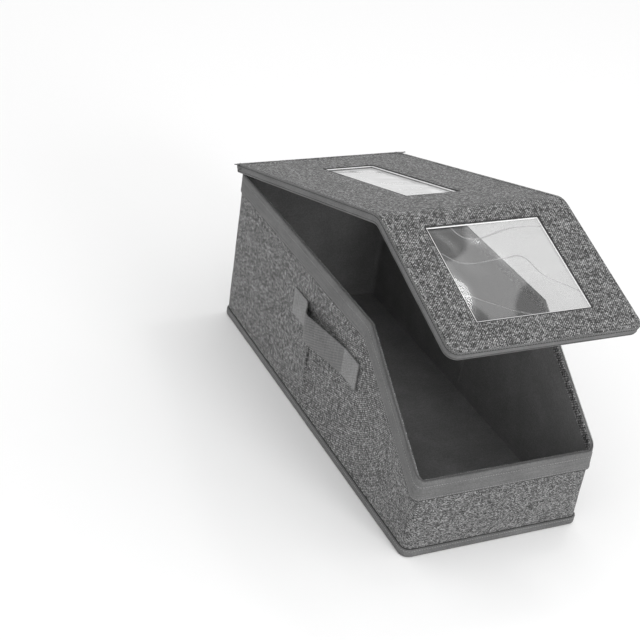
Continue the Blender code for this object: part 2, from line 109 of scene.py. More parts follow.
camera_data = bpy.data.cameras.new("camera")
camera_data.sensor_width = 36.0
camera_data.lens = CAMERA_LENS
camera = bpy.data.objects.new("camera", camera_data)
level = math.cos(CAMERA_ELEVATION)
backwards = Vector(
    (math.sin(CAMERA_AZIMUTH) * level, -math.cos(CAMERA_AZIMUTH) * level, math.sin(CAMERA_ELEVATION))
)
camera.rotation_mode = "QUATERNION"
aim = backwards.to_track_quat("Z", "Y")
camera.rotation_quaternion = aim @ Quaternion((0, 0, 1), CAMERA_ROLL) @ Quaternion((0, 1, 0), CAMERA_PAN)
camera.location = CAMERA_PLACE
bpy.context.scene.collection.objects.link(camera)
bpy.context.scene.camera = camera
bpy.context.scene.view_settings.view_transform = "Standard"

# %% [markdown]
# ## Floor and light
# The picture has an even white ground with one soft shadow under the case. A white world gives that
# evenness, and one large soft light from the camera's side makes the front a little brighter than the
# flank and the shadow soft. A small second light stands where the slope window's film mirrors it.


# %% Floor, lights and world
def soft_light(name, place, target, size, power):
    data = bpy.data.lights.new(name, "AREA")
    data.shape = "DISK"
    data.size = size
    data.energy = power
    light = bpy.data.objects.new(name, data)
    light.location = place
    light.rotation_mode = "QUATERNION"
    light.rotation_quaternion = (Vector(place) - Vector(target)).to_track_quat("Z", "Y")
    bpy.context.scene.collection.objects.link(light)


floor_mesh = bpy.data.meshes.new("floor")
floor_mesh.from_pydata([(-6, -6, 0), (6, -6, 0), (6, 6, 0), (-6, 6, 0)], [], [(0, 1, 2, 3)])
floor = bpy.data.objects.new("floor", floor_mesh)
floor.location = (0, 0, -0.0004)
bpy.context.scene.collection.objects.link(floor)

world = bpy.data.worlds.new("white_room")
world.use_nodes = True
world.node_tree.nodes["Background"].inputs["Color"].default_value = (1, 1, 1, 1)
world.node_tree.nodes["Background"].inputs["Strength"].default_value = 1.0
bpy.context.scene.world = world

soft_light("key", (0.5, -2.6, 1.1), (0, 0, 0.1), 1.0, 26)
soft_light("film_gleam", (0.80, 0.38, 2.0), (0, -0.19, 0.27), 0.26, 2.0)

# %% [markdown]
# ## Shader maths as Python
# A procedural weave is mostly arithmetic on two coordinates. Wired by hand that is dozens of Math nodes,
# so a small class wraps a node's output and lets ordinary operators add them.


# %% Signals and finishes
class Signal:
    """One output of a shader node, with arithmetic that adds Math nodes."""

    def __init__(self, finish, socket):
        self.finish = finish
        self.socket = socket

    def maths(self, operation, *values):
        return self.finish.node("ShaderNodeMath", {"operation": operation}, dict(enumerate(values)))

    def __add__(self, other):
        return self.maths("ADD", self, other)

    __radd__ = __add__

    def __sub__(self, other):
        return self.maths("SUBTRACT", self, other)

    def __rsub__(self, other):
        return self.maths("SUBTRACT", other, self)

    def __mul__(self, other):
        return self.maths("MULTIPLY", self, other)

    __rmul__ = __mul__

    def __truediv__(self, other):
        return self.maths("DIVIDE", self, other)

    def __lt__(self, other):
        return self.maths("LESS_THAN", self, other)

    def floor(self):
        return self.maths("FLOOR", self)

    def fract(self):
        return self.maths("FRACT", self)

    def sin(self):
        return self.maths("SINE", self)

    def abs(self):
        return self.maths("ABSOLUTE", self)

    def clamp(self):
        return self.finish.node("ShaderNodeClamp", {}, {0: self})


class Finish:
    """A material whose Principled shader takes plain numbers at once and patterns as signals."""

    def __init__(self, name, **constants):
        self.material = bpy.data.materials.new(name)
        self.material.use_nodes = True
        self.tree = self.material.node_tree
        self.shader = self.tree.nodes["Principled BSDF"]
        for label, value in constants.items():
            self.shader.inputs[label.replace("_", " ").title().replace("Ior", "IOR")].default_value = value

    def node(self, kind, settings=None, inputs=None, output=0):
        node = self.tree.nodes.new(kind)
        for key, value in (settings or {}).items():
            if key == "stops":
                self.set_stops(node.color_ramp, value)
            else:
                setattr(node, key, value)
        for key, value in (inputs or {}).items():
            if isinstance(value, Signal):
                self.tree.links.new(value.socket, node.inputs[key])
            else:
                node.inputs[key].default_value = value
        return Signal(self, node.outputs[output])

    def set_stops(self, ramp, stops):
        while len(ramp.elements) < len(stops):
            ramp.elements.new(1.0)
        for element, (place, shade) in zip(ramp.elements, stops):
            element.position = place
            element.color = (shade, shade, shade, 1)

    def feed(self, label, signal):
        self.tree.links.new(signal.socket, self.shader.inputs[label])

    def metres(self):
        """The piece's own UV map, which is laid out in metres, as two signals."""
        place = self.node("ShaderNodeTexCoord", output="UV")
        return [self.node("ShaderNodeSeparateXYZ", {}, {0: place}, output=axis) for axis in ("X", "Y")]

    def pair(self, u, v):
        return self.node("ShaderNodeCombineXYZ", {}, {0: u, 1: v, 2: 0.0})

    def dots(self, u, v):
        """A random number from 0 to 1 for each whole-number cell."""
        cell = self.pair(u.floor(), v.floor())
        return self.node("ShaderNodeTexWhiteNoise", {"noise_dimensions": "2D"}, {"Vector": cell})

    def cloud(self, scale, detail=2.0, vector=None):
        """Soft noise, on Object coordinates unless a vector is given."""
        place = vector or self.node("ShaderNodeTexCoord", output="Object")
        return self.node("ShaderNodeTexNoise", {}, {"Vector": place, "Scale": scale, "Detail": detail})

    def blend(self, factor, low, high):
        """Goes from low to high, two signals or numbers, as factor goes from 0 to 1."""
        return self.node("ShaderNodeMix", {"data_type": "FLOAT"}, {0: factor, 2: low, 3: high})

    def grey(self, value, stops):
        return self.node("ShaderNodeValToRGB", {"stops": stops}, {0: value})

    def bump(self, height, strength, distance):
        inputs = {"Height": height, "Strength": strength, "Distance": distance}
        self.feed("Normal", self.node("ShaderNodeBump", {}, inputs))


# %% [markdown]
# ## The woven cloth
# The cloth is a plain weave of mottled yarn: light and dark yarns cross like a chessboard, and each
# stretch of yarn has a tone of its own. An image could give that, but a pattern on the piece's own UV map
# stays sharp at any distance. Every crossing is a small rounded pillow, and its colour is darkened
# towards the gaps around it as painted shade; the same pillow feeds the bump.


# %% Woven cloth
YARN = 0.0015
WOVEN_STOPS = ((0.0, 0.008), (0.20, 0.030), (0.42, 0.100), (0.66, 0.26), (1.0, 0.60))
FLECK = 0.0022


def woven_finish(name, stops, yarn=YARN):
    finish = Finish(name, roughness=0.93, specular_ior_level=0.25, sheen_weight=0.15, sheen_roughness=0.6)
    u, v = finish.metres()
    across, along = u / yarn, v / yarn
    warp_over = ((across.floor() + along.floor()) / 2).fract() < 0.25
    pillow = (across.fract() * math.pi).sin() * (along.fract() * math.pi).sin()
    warp_tone = finish.dots(across, along) * 0.60 + 0.42
    weft_tone = finish.dots(across + 40, along) * 0.55 + 0.02
    tone = finish.blend(warp_over, weft_tone, warp_tone)
    slubs = finish.dots(across, along / 9) + finish.dots(across / 9, along) - 1.0
    flecks = finish.dots(u / FLECK, v / FLECK) - 0.5
    # The pillow factor is painted shade: it darkens each yarn's colour towards the gaps between crossings.
    shaded = (tone + slubs * 0.12) * (pillow * 0.55 + 0.45) + flecks * 0.44 + 0.03
    finish.feed("Base Color", finish.grey(shaded.clamp(), stops))
    finish.bump(pillow + tone * 0.3, 0.6, 0.0004)
    return finish.material


woven = woven_finish("woven_cloth", WOVEN_STOPS)

# %% [markdown]
# ## Tape, lining and webbing
# The bindings are smooth grosgrain: fine cross ribs and faint streaks along the tape. The lining is a
# plain dull sheet and the handles are webbing with thicker ribs, so the same few lines make all of them.


# %% Tape, lining and webbing
def ribbed_finish(name, shade, rib, depth, streak, slant=0.0):
    """Ribs of this pitch and depth of tone across the run of the piece, with streaks along it."""
    finish = Finish(name, roughness=0.82, specular_ior_level=0.3, sheen_weight=0.1, sheen_roughness=0.5)
    u, v = finish.metres()
    ribs = ((u + v * slant) / rib * math.tau).sin() * 0.5 + 0.5
    streaks = finish.cloud(1.0, 3.0, finish.pair(u * 14.0, v * 700.0)) - 0.5
    fibres = finish.dots(u / 0.0011, v / 0.0011) - 0.5
    mottle = finish.cloud(26.0) - 0.5
    tone = streaks * streak + fibres * 0.22 + (ribs - 0.5) * depth + mottle * 0.35 + 0.5
    dark, light = shade * 0.35, shade * 1.9
    finish.feed("Base Color", finish.grey(tone.clamp(), ((0.0, dark), (0.5, shade), (1.0, light))))
    finish.bump(ribs * (depth * 2.0) + fibres * 0.5 + streaks, 0.4, 0.0002)
    return finish.material


tape = ribbed_finish("smooth_tape", 0.118, 0.0009, 0.10, 0.45)
# The strap's free span and its sewn patches are shaded and lit copies of one webbing: the darker free span is
# painted shade, the lighter patches painted light.
webbing = ribbed_finish("webbing", 0.140, 0.0023, 0.42, 0.5, slant=0.7)
lit_webbing_patch = ribbed_finish("lit_webbing_patch", 0.200, 0.0023, 0.30, 0.5, slant=0.7)
lining = ribbed_finish("lining", 0.160, 0.0013, 0.12, 0.2)

# %% [markdown]
# ## Zip, thread, metal and card
# These are small, so each needs only a tone, a gloss and a little variation: nylon for the coil, spun
# thread for the stitches, plated zinc for sliders and pulls, and matt board for the blank card.


# %% Small finishes
def plain_finish(name, stops, cloud_scale, **constants):
    finish = Finish(name, **constants)
    mottle = finish.cloud(cloud_scale, 4.0)
    finish.feed("Base Color", finish.grey(mottle, stops))
    return finish


nylon = plain_finish("nylon_coil", ((0.3, 0.035), (0.7, 0.11)), 900.0, roughness=0.42).material
thread = plain_finish("thread", ((0.3, 0.20), (0.7, 0.40)), 1500.0, roughness=0.8).material
card = plain_finish("blank_card", ((0.3, 0.80), (0.7, 0.88)), 300.0, roughness=0.85).material
plated = plain_finish("plated_metal", ((0.3, 0.62), (0.7, 0.82)), 60.0, metallic=1.0)
scuffs = plated.cloud(420.0, 6.0)
plated.feed("Roughness", scuffs * 0.3 + 0.14)
metal = plated.material

# %% [markdown]
# ## Clear film
# The windows are soft vinyl. It is clear straight on and mirrors the room at a flat angle. Soft lighter
# patches in its colour and alpha are painted reflections, and thin bright lines are creases, partly stress
# whitening and partly painted highlight. Alpha carries the clearness and a coat carries the gloss, because
# both survive an export.


# %% Film
def film_finish(name, clear, painted_reflection_alpha, clear_shade, painted_highlight_grey):
    finish = Finish(name, roughness=0.12, specular_ior_level=0.6, coat_weight=0.6, coat_roughness=0.03)
    inputs = {0: finish.cloud(13.0, 0.0), 1: 0.50, 2: 0.58}
    # The patches are painted reflections: soft areas of lighter colour and lower clearness, in place of
    # softboxes mirrored in the wavy film.
    patch = finish.node("ShaderNodeMapRange", {"interpolation_type": "SMOOTHSTEP"}, inputs)
    # Thin bright lines: partly the stress whitening of a crease, partly painted highlight.
    crease_whitening_and_highlight = (finish.cloud(11.0, 0.5) - 0.44).abs() < 0.004
    marked = (patch + crease_whitening_and_highlight * 1.6).clamp()
    finish.feed("Base Color", finish.grey(marked, ((0.0, clear_shade), (1.0, painted_highlight_grey))))
    finish.feed("Alpha", (finish.blend(patch, clear, painted_reflection_alpha) + crease_whitening_and_highlight * 0.25).clamp())
    finish.bump(finish.cloud(14.0, 0.0), 0.2, 0.002)
    return finish.material


slope_film = film_finish("window_film", 0.26, 0.34, 0.15, 0.34)
# The top window's film is near white and mostly opaque: a painted reflection of the white room on its flat
# face.
top_film = film_finish("top_window_film", 0.72, 0.75, 0.80, 0.84)
label_clear = film_finish("label_film", 0.08, 0.12, 0.80, 0.90)
# A white cord round each window opening: a painted highlight on the film's turned-up edge.
painted_edge_highlight = plain_finish("film_edge_highlight", ((0.3, 0.80), (0.7, 0.95)), 300.0, roughness=0.2).material
# A near-black cord: round the window openings it is a dark turned-in edge, along the lower borders of the rim
# band and of the lid's flange it is a painted shadow line, and just above the base binding it is a dark line.
dark_cord_and_shadow_line = plain_finish("dark_cord_and_shadow_line", ((0.3, 0.012), (0.7, 0.05)), 1500.0, roughness=0.85).material

floor_finish = Finish("floor", roughness=0.9, specular_ior_level=0.1)
floor_finish.shader.inputs["Base Color"].default_value = (0.93, 0.93, 0.93, 1)
floor.data.materials.append(floor_finish.material)

# %% [markdown]
# ## Surfaces through rows of points
# Most pieces are strips and sheets that follow the case's outline. One helper takes rows of points and
# gives a surface whose UV map is in metres, so that a thread is as wide on a narrow binding as on a wall.
# Another gives it its thickness and makes the result a plain mesh.


# %% Surface helpers
def running_lengths(points, closed=False):
    found = [0.0]
    for before, after in zip(points, points[1:]):
        found.append(found[-1] + (after - before).length)
    if closed:
        found.append(found[-1] + (points[0] - points[-1]).length)
    return found


def surface(name, rows, materials, inside, closed=False, keep=None, finish_of=None, floor_row=False):
    """A surface of quads through rows of points, facing away from the point inside.

    keep(i, j) says whether the quad above row i and after column j is made, and finish_of(i, j)
    gives its material.
    """
    bm = bmesh.new()
    layer = bm.loops.layers.uv.new("metres")
    grid = [[bm.verts.new(point) for point in row] for row in rows]
    middle = rows[len(rows) // 2]
    u = running_lengths(middle, closed)
    v = running_lengths([row[len(row) // 4] for row in rows])
    columns = len(rows[0])
    for i in range(len(rows) - 1):
        for j in range(columns if closed else columns - 1):
            if keep and not keep(i, j):
                continue
            k = (j + 1) % columns
            face = bm.faces.new((grid[i][j], grid[i][k], grid[i + 1][k], grid[i + 1][j]))
            spots = ((u[j], v[i]), (u[j + 1], v[i]), (u[j + 1], v[i + 1]), (u[j], v[i + 1]))
            for loop, spot in zip(face.loops, spots):
                loop[layer].uv = spot
            face.smooth = True
            face.material_index = finish_of(i, j) if finish_of else 0
    bm.normal_update()
    outwards = 0.0
    for face in bm.faces:
        outwards += (face.calc_center_median() - inside).dot(face.normal) * face.calc_area()
    if outwards < 0:
        bmesh.ops.reverse_faces(bm, faces=bm.faces)
    if floor_row:
        ground = bm.faces.new(grid[0])
        ground.normal_update()
        if ground.normal.z > 0:
            ground.normal_flip()
        for loop in ground.loops:
            loop[layer].uv = loop.vert.co.xy
    bmesh.ops.delete(bm, geom=[vert for vert in bm.verts if not vert.link_faces], context="VERTS")
    mesh = bpy.data.meshes.new(name)
    bm.to_mesh(mesh)
    bm.free()
    for material in materials:
        mesh.materials.append(material)
    obj = bpy.data.objects.new(name, mesh)
    bpy.context.scene.collection.objects.link(obj)
    return obj


def plain(obj):
    """Applies an object's modifiers, so that a plain mesh at the origin is left."""
    bpy.context.view_layer.update()
    graph = bpy.context.evaluated_depsgraph_get()
    mesh = bpy.data.meshes.new_from_object(obj.evaluated_get(graph))
    if obj.type == "CURVE":
        name = obj.name
        mesh.transform(obj.matrix_world)
        bpy.data.objects.remove(obj, do_unlink=True)
        obj = bpy.data.objects.new(name, mesh)
        bpy.context.scene.collection.objects.link(obj)
        return obj
    obj.modifiers.clear()
    obj.data = mesh
    return obj


def thicken(obj, thickness, offset=-1.0, inner=0, sharp=40):
    modifier = obj.modifiers.new("Thickness", "SOLIDIFY")
    modifier.thickness = thickness
    modifier.offset = offset
    modifier.use_even_offset = True
    modifier.material_offset = inner
    obj = plain(obj)
    obj.data.set_sharp_from_angle(angle=math.radians(sharp))
    return obj


def place(obj, body, slot, *nodes):
    """Hands a finished piece to the frame: its body and the solids that it stands for. The slot, which names
    its finish, is not used.
    """
    obj.data.name = obj.name
    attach(obj, body)
    if nodes:
        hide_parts(*nodes)
    print(obj.name, len(obj.data.polygons), "faces")
    return obj


# %% [markdown]
# ## The outline that everything follows
# Seen from above the case is a rectangle with rounded corners. A station on it is a point and the way out
# of the case there. The rim is level at the front, climbs the slope and is level again, and a tape of any
# width that follows the rim has its lower edge square to it.


# %% Outline and rim
STEP = 0.008
CORNER_STEPS = 10
FOLD_STOPS = (-0.010, -0.006, -0.0035, -0.0018, -0.0007, 0.0, 0.0007, 0.0018, 0.0035, 0.006, 0.010)


def slope_z(y):
    return FRONT_HEIGHT + (y - FRONT) * math.tan(SLOPE)


def band_z(y, width):
    """Height at which a band of this width, hung from the rim, ends."""
    low = min(BACK_HEIGHT - width, slope_z(y) - width / math.cos(SLOPE))
    return max(low, FRONT_HEIGHT - width)


def divided(stops):
    """The same stops with more between them, none further apart than a step."""
    found = [stops[0]]
    for before, after in zip(stops, stops[1:]):
        count = max(1, math.ceil(abs(after - before) / STEP))
        found += [before + (after - before) * i / count for i in range(1, count + 1)]
    return found


def corner(centre_x, centre_y, start, end):
    found = []
    for i in range(CORNER_STEPS + 1):
        angle = math.radians(start + (end - start) * i / CORNER_STEPS)
        out = Vector((math.cos(angle), math.sin(angle), 0))
        found.append((Vector((centre_x, centre_y, 0)) + out * CORNER_RADIUS, out))
    return found


def outline(back_start=0.0):
    """Stations from back_start left of the back's middle, round the front, to the same place on the right."""
    inset = HALF_WIDTH - CORNER_RADIUS
    bends = [BACK - CORNER_RADIUS, CREASE + 0.0088, CREASE, FRONT + CORNER_RADIUS]
    side_stops = sorted(bends + [FOLD + d for d in FOLD_STOPS], reverse=True)
    half = [(Vector((-x, BACK, 0)), Vector((0, 1, 0))) for x in divided([back_start, inset])[:-1]]
    half += corner(-inset, BACK - CORNER_RADIUS, 90, 180)
    half += [(Vector((-HALF_WIDTH, y, 0)), Vector((-1, 0, 0))) for y in divided(side_stops)[1:-1]]
    half += corner(-inset, FRONT + CORNER_RADIUS, 180, 270)
    half += [(Vector((-x, FRONT, 0)), Vector((0, -1, 0))) for x in divided([inset, 0.0])[1:]]
    flip = Vector((-1, 1, 1))
    other = [(p * flip, out * flip) for p, out in reversed(half[:-1])]
    if back_start == 0.0:
        other.pop()
    return half + other


CENTRE = Vector((0, 0, 0.09))
loop_stations = outline()
rim_stations = outline(HALF_WIDTH - ZIP_WRAP)
print("stations", len(loop_stations), "round the case,", len(rim_stations), "along the zip")

# %% [markdown]
# ## The body
# On the real case four stiffened walls and a floor are sewn into one hollow shell. The cloth is a little
# slack between the binding at its foot and the tape at its rim, so the front swells and each side has the
# sharp crease that lets the case fold flat. The outer surface is worked out first, and Solidify then
# gives it its wall, with the lining as the material of the inner face.


# %% Body shell
BODY_ROWS = 26
FRONT_SWELL = 0.0028
FOLD_DEPTH = 0.0030
FOLD_TOP = 0.150


def wobble(point, scale, size):
    return noise.noise(point * scale) * size


def wall_offset(p, out, z):
    """How far the cloth stands out of its flat wall at this height."""
    low = BASE_TAPE_HEIGHT + 0.001
    high = band_z(p.y, RIM_TAPE_WIDTH) - 0.001
    share = min(1.0, max(0.0, (z - low) / (high - low)))
    slack = math.sin(math.pi * share) ** 0.7 if 0 < share < 1 else 0.0
    found = wobble(Vector((p.x, p.y, z)), 17.0, 0.0009) * slack
    found += wobble(Vector((p.x, p.y, z)), 46.0, 0.0003) * slack
    if out.y < -0.999:
        found += FRONT_SWELL * slack * math.cos(math.pi / 2 * p.x / HALF_WIDTH)
    if abs(out.x) > 0.999:
        away = abs(p.y - FOLD)
        fade = min(1.0, max(0.0, (FOLD_TOP - z) / 0.03))
        found -= FOLD_DEPTH * math.exp(-((away / 0.0016) ** 2)) * slack * fade
        found += 0.0011 * math.exp(-((away / 0.012) ** 2)) * slack * fade
    return found


body_rows = []
for i in range(BODY_ROWS + 1):
    row = []
    for p, out in loop_stations:
        z = 0.0002 + (band_z(p.y, 0.0) - 0.0019 - 0.0002) * i / BODY_ROWS
        spot = p + out * wall_offset(p, out, z)
        row.append(Vector((spot.x, spot.y, z)))
    body_rows.append(row)
body_cloth = surface("body_cloth", body_rows, [woven, lining], CENTRE, closed=True, floor_row=True)
body_cloth = thicken(body_cloth, WALL, inner=1)
place(body_cloth, "case", "woven_fabric", "body_shell")

# %% [markdown]
# ## The bindings of the body
# A folded tape hides each raw edge. Round the foot it is a thin roll; along the rim it is the zip's own
# tape, which goes down the outside as a broad smooth band, over the top and a short way down the inside.
# Both are a profile that is carried along the outline.

# %% Base binding
BASE_PROFILE = (
    (0.0003, 0.0002),
    (0.0012, 0.0001),
    (0.0020, 0.0006),
    (0.0024, 0.0024),
    (0.0023, 0.0052),
    (0.0024, 0.0078),
    (0.0020, 0.0096),
    (0.0011, 0.0103),
    (0.0004, 0.0101),
)
base_rows = []
for reach, z in BASE_PROFILE:
    row = []
    for p, out in loop_stations:
        soft = wobble(Vector((p.x, p.y, z * 4)), 38.0, 0.0004) * min(1.0, z / 0.004)
        spot = p + out * (reach + (soft if reach > 0.001 else 0.0))
        row.append(Vector((spot.x, spot.y, z)))
    base_rows.append(row)
base_rows.append(base_rows[0])
base_binding = surface("base_binding", base_rows, [tape], CENTRE, closed=True)
bm = bmesh.new()
bm.from_mesh(base_binding.data)
bmesh.ops.remove_doubles(bm, verts=bm.verts, dist=1e-6)
bm.to_mesh(base_binding.data)
bm.free()
place(base_binding, "case", "grosgrain_tape", "base_tape")

# %% Rim binding
RIM_MIDDLE = -0.00125
RIM_HALF = 0.00215
RIM_OUTSIDE = RIM_MIDDLE + RIM_HALF
RIM_INSIDE = RIM_MIDDLE - RIM_HALF


def rim_profile():
    """Pairs of how far out of the wall and how far down from the rim, from the outer edge to the inner."""
    found = [(RIM_OUTSIDE - 0.0003, 0.0272), (RIM_OUTSIDE + 0.0002, 0.0262)]
    found += [(RIM_OUTSIDE, down) for down in (0.0240, 0.0205, 0.0170, 0.0135, 0.0100, 0.0065, 0.0035)]
    for i in range(7):
        angle = math.pi * i / 6
        found.append((RIM_MIDDLE + RIM_HALF * math.cos(angle), 0.0017 - 0.0010 * math.sin(angle)))
    found += [(RIM_INSIDE, down) for down in (0.0040, 0.0065, 0.0090)]
    found += [(RIM_INSIDE, 0.0115), (RIM_INSIDE + 0.0003, 0.0122)]
    return found


RIM_PROFILE = rim_profile()
FACING_FROM = 13


def rim_spot(p, out, reach, down):
    """A point of the rim band, with the slight waves of a tape that is only sewn along two lines."""
    free = max(0.0, math.sin(math.pi * min(1.0, down / RIM_TAPE_WIDTH))) if reach > 0 else 0.0
    soft = abs(wobble(Vector((p.x, p.y, down * 6)), 24.0, 0.0013)) * free
    round_corner = 4 * (out.x * out.y) ** 2 if out.y < 0 else 0.0
    soft += 0.0014 * round_corner * min(1.0, down / RIM_TAPE_WIDTH) if reach > 0 else 0.0
    spot = p + out * (reach + soft)
    return Vector((spot.x, spot.y, band_z(p.y, down)))


rim_rows = [[rim_spot(p, out, reach, down) for p, out in rim_stations] for reach, down in RIM_PROFILE]
rim_binding = surface(
    "rim_binding",
    rim_rows,
    [tape, woven],
    CENTRE,
    finish_of=lambda i, j: 1 if i >= FACING_FROM else 0,
)
rim_binding = thicken(rim_binding, 0.0011, offset=0.0)
place(rim_binding, "case", "grosgrain_tape", "rim_tape")

# %% [markdown]
# ## The lid's own coordinates
# The lid is easiest to think of flat: x across it, t along it from the front edge up the slope and back
# over the top, and h the height above the rim when it is shut. The cloth doesn't break at the crease, it
# rolls over it, so the path there is a short curve. Each point is then turned about the hinge to where
# the lid stands.

# %% Lid coordinates
LID_OVERHANG = 0.006
LID_BACK_T = SLOPE_LENGTH + (HINGE.y - 0.0008 - CREASE)
LID_FRONT_T = -LID_OVERHANG / math.cos(SLOPE)
CREASE_SOFT = 0.009
LID_CORNER = 0.015
LID_TURN = Matrix.Rotation(-LID_OPEN, 3, "X")


def lid_frame(t):
    """Point and outward normal, in the plane of the side, of the shut lid's base line."""
    crest = Vector((0, CREASE, BACK_HEIGHT))
    up_slope = Vector((0, math.cos(SLOPE), math.sin(SLOPE)))
    over_top = Vector((0, 1, 0))
    along = t - SLOPE_LENGTH
    if along <= -CREASE_SOFT:
        return crest + up_slope * along, Vector((0, -math.sin(SLOPE), math.cos(SLOPE)))
    if along >= CREASE_SOFT:
        return crest + over_top * along, Vector((0, 0, 1))
    q = (along + CREASE_SOFT) / (2 * CREASE_SOFT)
    start = crest - up_slope * CREASE_SOFT
    end = crest + over_top * CREASE_SOFT
    point = start * (1 - q) ** 2 + crest * (2 * q * (1 - q)) + end * q**2
    tangent = ((crest - start) * (1 - q) + (end - crest) * q).normalized()
    return point, Vector((0, -tangent.z, tangent.y))


def turned(point):
    return HINGE + LID_TURN @ (point - HINGE)


def lid_spot(x, t, h):
    base, up = lid_frame(t)
    return turned(base + up * h + Vector((x, 0, 0)))


def top_t(from_front):
    """Distance along the lid of a place on its level part, measured level from the front."""
    return SLOPE_LENGTH + from_front - SLOPE_RUN


WINDOWS = {
    "front": {"half": 0.0755, "near": 0.031, "far": 0.172},
    "top": {"half": 0.037, "near": top_t(0.246), "far": top_t(0.475)},
}
LID_INSIDE = lid_spot(0, SLOPE_LENGTH, -0.08)


def lid_outline(inset):
    """Pairs of x and t round the lid from its back left corner to its back right one."""
    reach = HALF_WIDTH + LID_OVERHANG - inset
    front = LID_FRONT_T + inset
    radius = LID_CORNER - inset
    soft = [SLOPE_LENGTH + CREASE_SOFT * d for d in (1.2, 0.8, 0.4, 0.0, -0.4, -0.8, -1.2)]
    left = [(-reach, t) for t in divided([LID_BACK_T] + soft + [front + radius])[:-1]]
    for i in range(CORNER_STEPS + 1):
        angle = math.radians(180 + 90 * i / CORNER_STEPS)
        left.append((radius - reach + radius * math.cos(angle), front + radius + radius * math.sin(angle)))
    left += [(x, front) for x in divided([radius - reach, 0.0])[1:]]
    return left + [(-x, t) for x, t in reversed(left[:-1])]


# %% [markdown]
# ## The lid's cover
# Two boards in one piece of cloth, with an opening for each window. The cover is a grid in the lid's
# coordinates: grid lines run exactly along the windows' edges and the squares inside them are left out,
# which is simpler and cleaner than cutting. The cloth dips where it is turned in at a window and along
# the seam round it.

# %% Lid cover
COVER_TOP = 0.0096
COVER_THICK = 0.0030
COVER_INSET = 0.0017


WINDOW_SEAM = 0.0042
SEAM_STOPS = (0.0012, 0.0026, WINDOW_SEAM, 0.0056)


def cover_x(share, t):
    """The grid's x at a share from -1 to 1 of the half width, drawn in round the front corners."""
    reach = HALF_WIDTH + LID_OVERHANG - COVER_INSET
    radius = LID_CORNER - COVER_INSET
    front = LID_FRONT_T + COVER_INSET
    down = max(0.0, radius - (t - front))
    edge = reach - radius + math.sqrt(max(0.0, radius**2 - down**2))
    still = WINDOWS["front"]["half"]
    x = abs(share) * reach
    if x > still:
        x = still + (x - still) * (edge - still) / (reach - still)
    return math.copysign(x, share)


def window_gap(x, t):
    """Distance from the nearest window's edge, outside it."""
    found = 1.0
    for window in WINDOWS.values():
        aside = max(0.0, abs(x) - window["half"])
        beyond = max(0.0, window["near"] - t, t - window["far"])
        found = min(found, math.hypot(aside, beyond))
    return found


def cover_height(x, t):
    gap = window_gap(x, t)
    turn_in = 0.0009 * math.exp(-((gap / 0.0016) ** 2))
    groove = 0.0003 * math.exp(-(((gap - WINDOW_SEAM) / 0.0009) ** 2))
    return COVER_TOP - turn_in - groove + wobble(Vector((x, t, 3.0)), 21.0, 0.0006)


reach = HALF_WIDTH + LID_OVERHANG - COVER_INSET
edges = [WINDOWS["top"]["half"], WINDOWS["front"]["half"]]
near_edges = [edge + d for edge in edges for d in (0.0, *SEAM_STOPS)]
stops = divided(sorted([0.0] + near_edges + [reach]))
shares = [-x / reach for x in reversed(stops)] + [x / reach for x in stops[1:]]
t_edges = [WINDOWS[name][end] for name in WINDOWS for end in ("near", "far")]
sides = {"near": -1, "far": 1}
t_near = [WINDOWS[name][end] + sides[end] * d for name in WINDOWS for end in sides for d in SEAM_STOPS]
rounds = [1 - math.cos(math.pi / 2 * i / 8) for i in range(9)]
front_stops = [LID_FRONT_T + COVER_INSET + LID_CORNER * share for share in rounds]
crease_stops = [SLOPE_LENGTH + CREASE_SOFT * d for d in (-1.0, -0.6, -0.2, 0.2, 0.6, 1.0)]
ts = divided(sorted(front_stops + t_edges + t_near + crease_stops + [LID_BACK_T]))
cover_rows = []
for t in ts:
    xs = [cover_x(share, t) for share in shares]
    cover_rows.append([lid_spot(x, t, cover_height(x, t)) for x in xs])


def outside_windows(i, j):
    x = (shares[j] + shares[j + 1]) / 2 * reach
    t = (ts[i] + ts[i + 1]) / 2
    return window_gap(x, t) > 0


lid_cover = surface("lid_cover", cover_rows, [woven, lining], LID_INSIDE, keep=outside_windows)
lid_cover = thicken(lid_cover, COVER_THICK, inner=1)
place(lid_cover, "lid", "woven_fabric", "lid_front_panel", "lid_top_panel")

# %% [markdown]
# ## The lid's edge
# A strip of the same cloth is sewn on top along the edge, and it carries a smooth tape that hangs down
# all round: that flange is what closes over the rim. It is one profile carried along the lid's outline,
# with the cloth's finish on its upper rows and the tape's on the rest.

# %% Lid edge
EDGE_PROFILE = (
    (0.0064, 0.0095),
    (0.0061, 0.0101),
    (0.0045, 0.0103),
    (0.0028, 0.0103),
    (0.0016, 0.0101),
    (0.0009, 0.0094),
    (0.0007, 0.0082),
    (0.0006, 0.0062),
    (0.0005, 0.0040),
    (0.0006, 0.0018),
    (0.0006, -0.0004),
    (0.0008, -0.0016),
)
CLOTH_ROWS = 4


def edge_spot(x, t, h, near):
    soft = wobble(Vector((x, t, h * 5)), 30.0, 0.0005) if h < 0.008 else 0.0
    side = math.copysign(soft, x) if near < 0.999 else 0.0
    return lid_spot(x + side, t, h)


edge_rows = []
for inset, h in EDGE_PROFILE:
    edge_rows.append([edge_spot(x, t, h, 0.0 if abs(x) > 0.1 else 1.0) for x, t in lid_outline(inset)])
lid_edge = surface(
    "lid_edge",
    edge_rows,
    [tape, woven],
    LID_INSIDE,
    finish_of=lambda i, j: 1 if i < CLOTH_ROWS else 0,
)
lid_edge = thicken(lid_edge, 0.0010)
place(lid_edge, "lid", "grosgrain_tape", "lid_tape")

# %% [markdown]
# ## The windows
# Each film is sewn in from below. Vinyl never lies quite flat, and its shallow waves are what breaks up
# the reflections, so they are modelled and not left to the bump alone. A bright cord runs round the
# opening, where the film is turned up; its white is a painted highlight along that edge.

# %% Window films
FILM_THICK = 0.0005
FILM_LAP = 0.006
FILM_HEIGHT = 0.0058


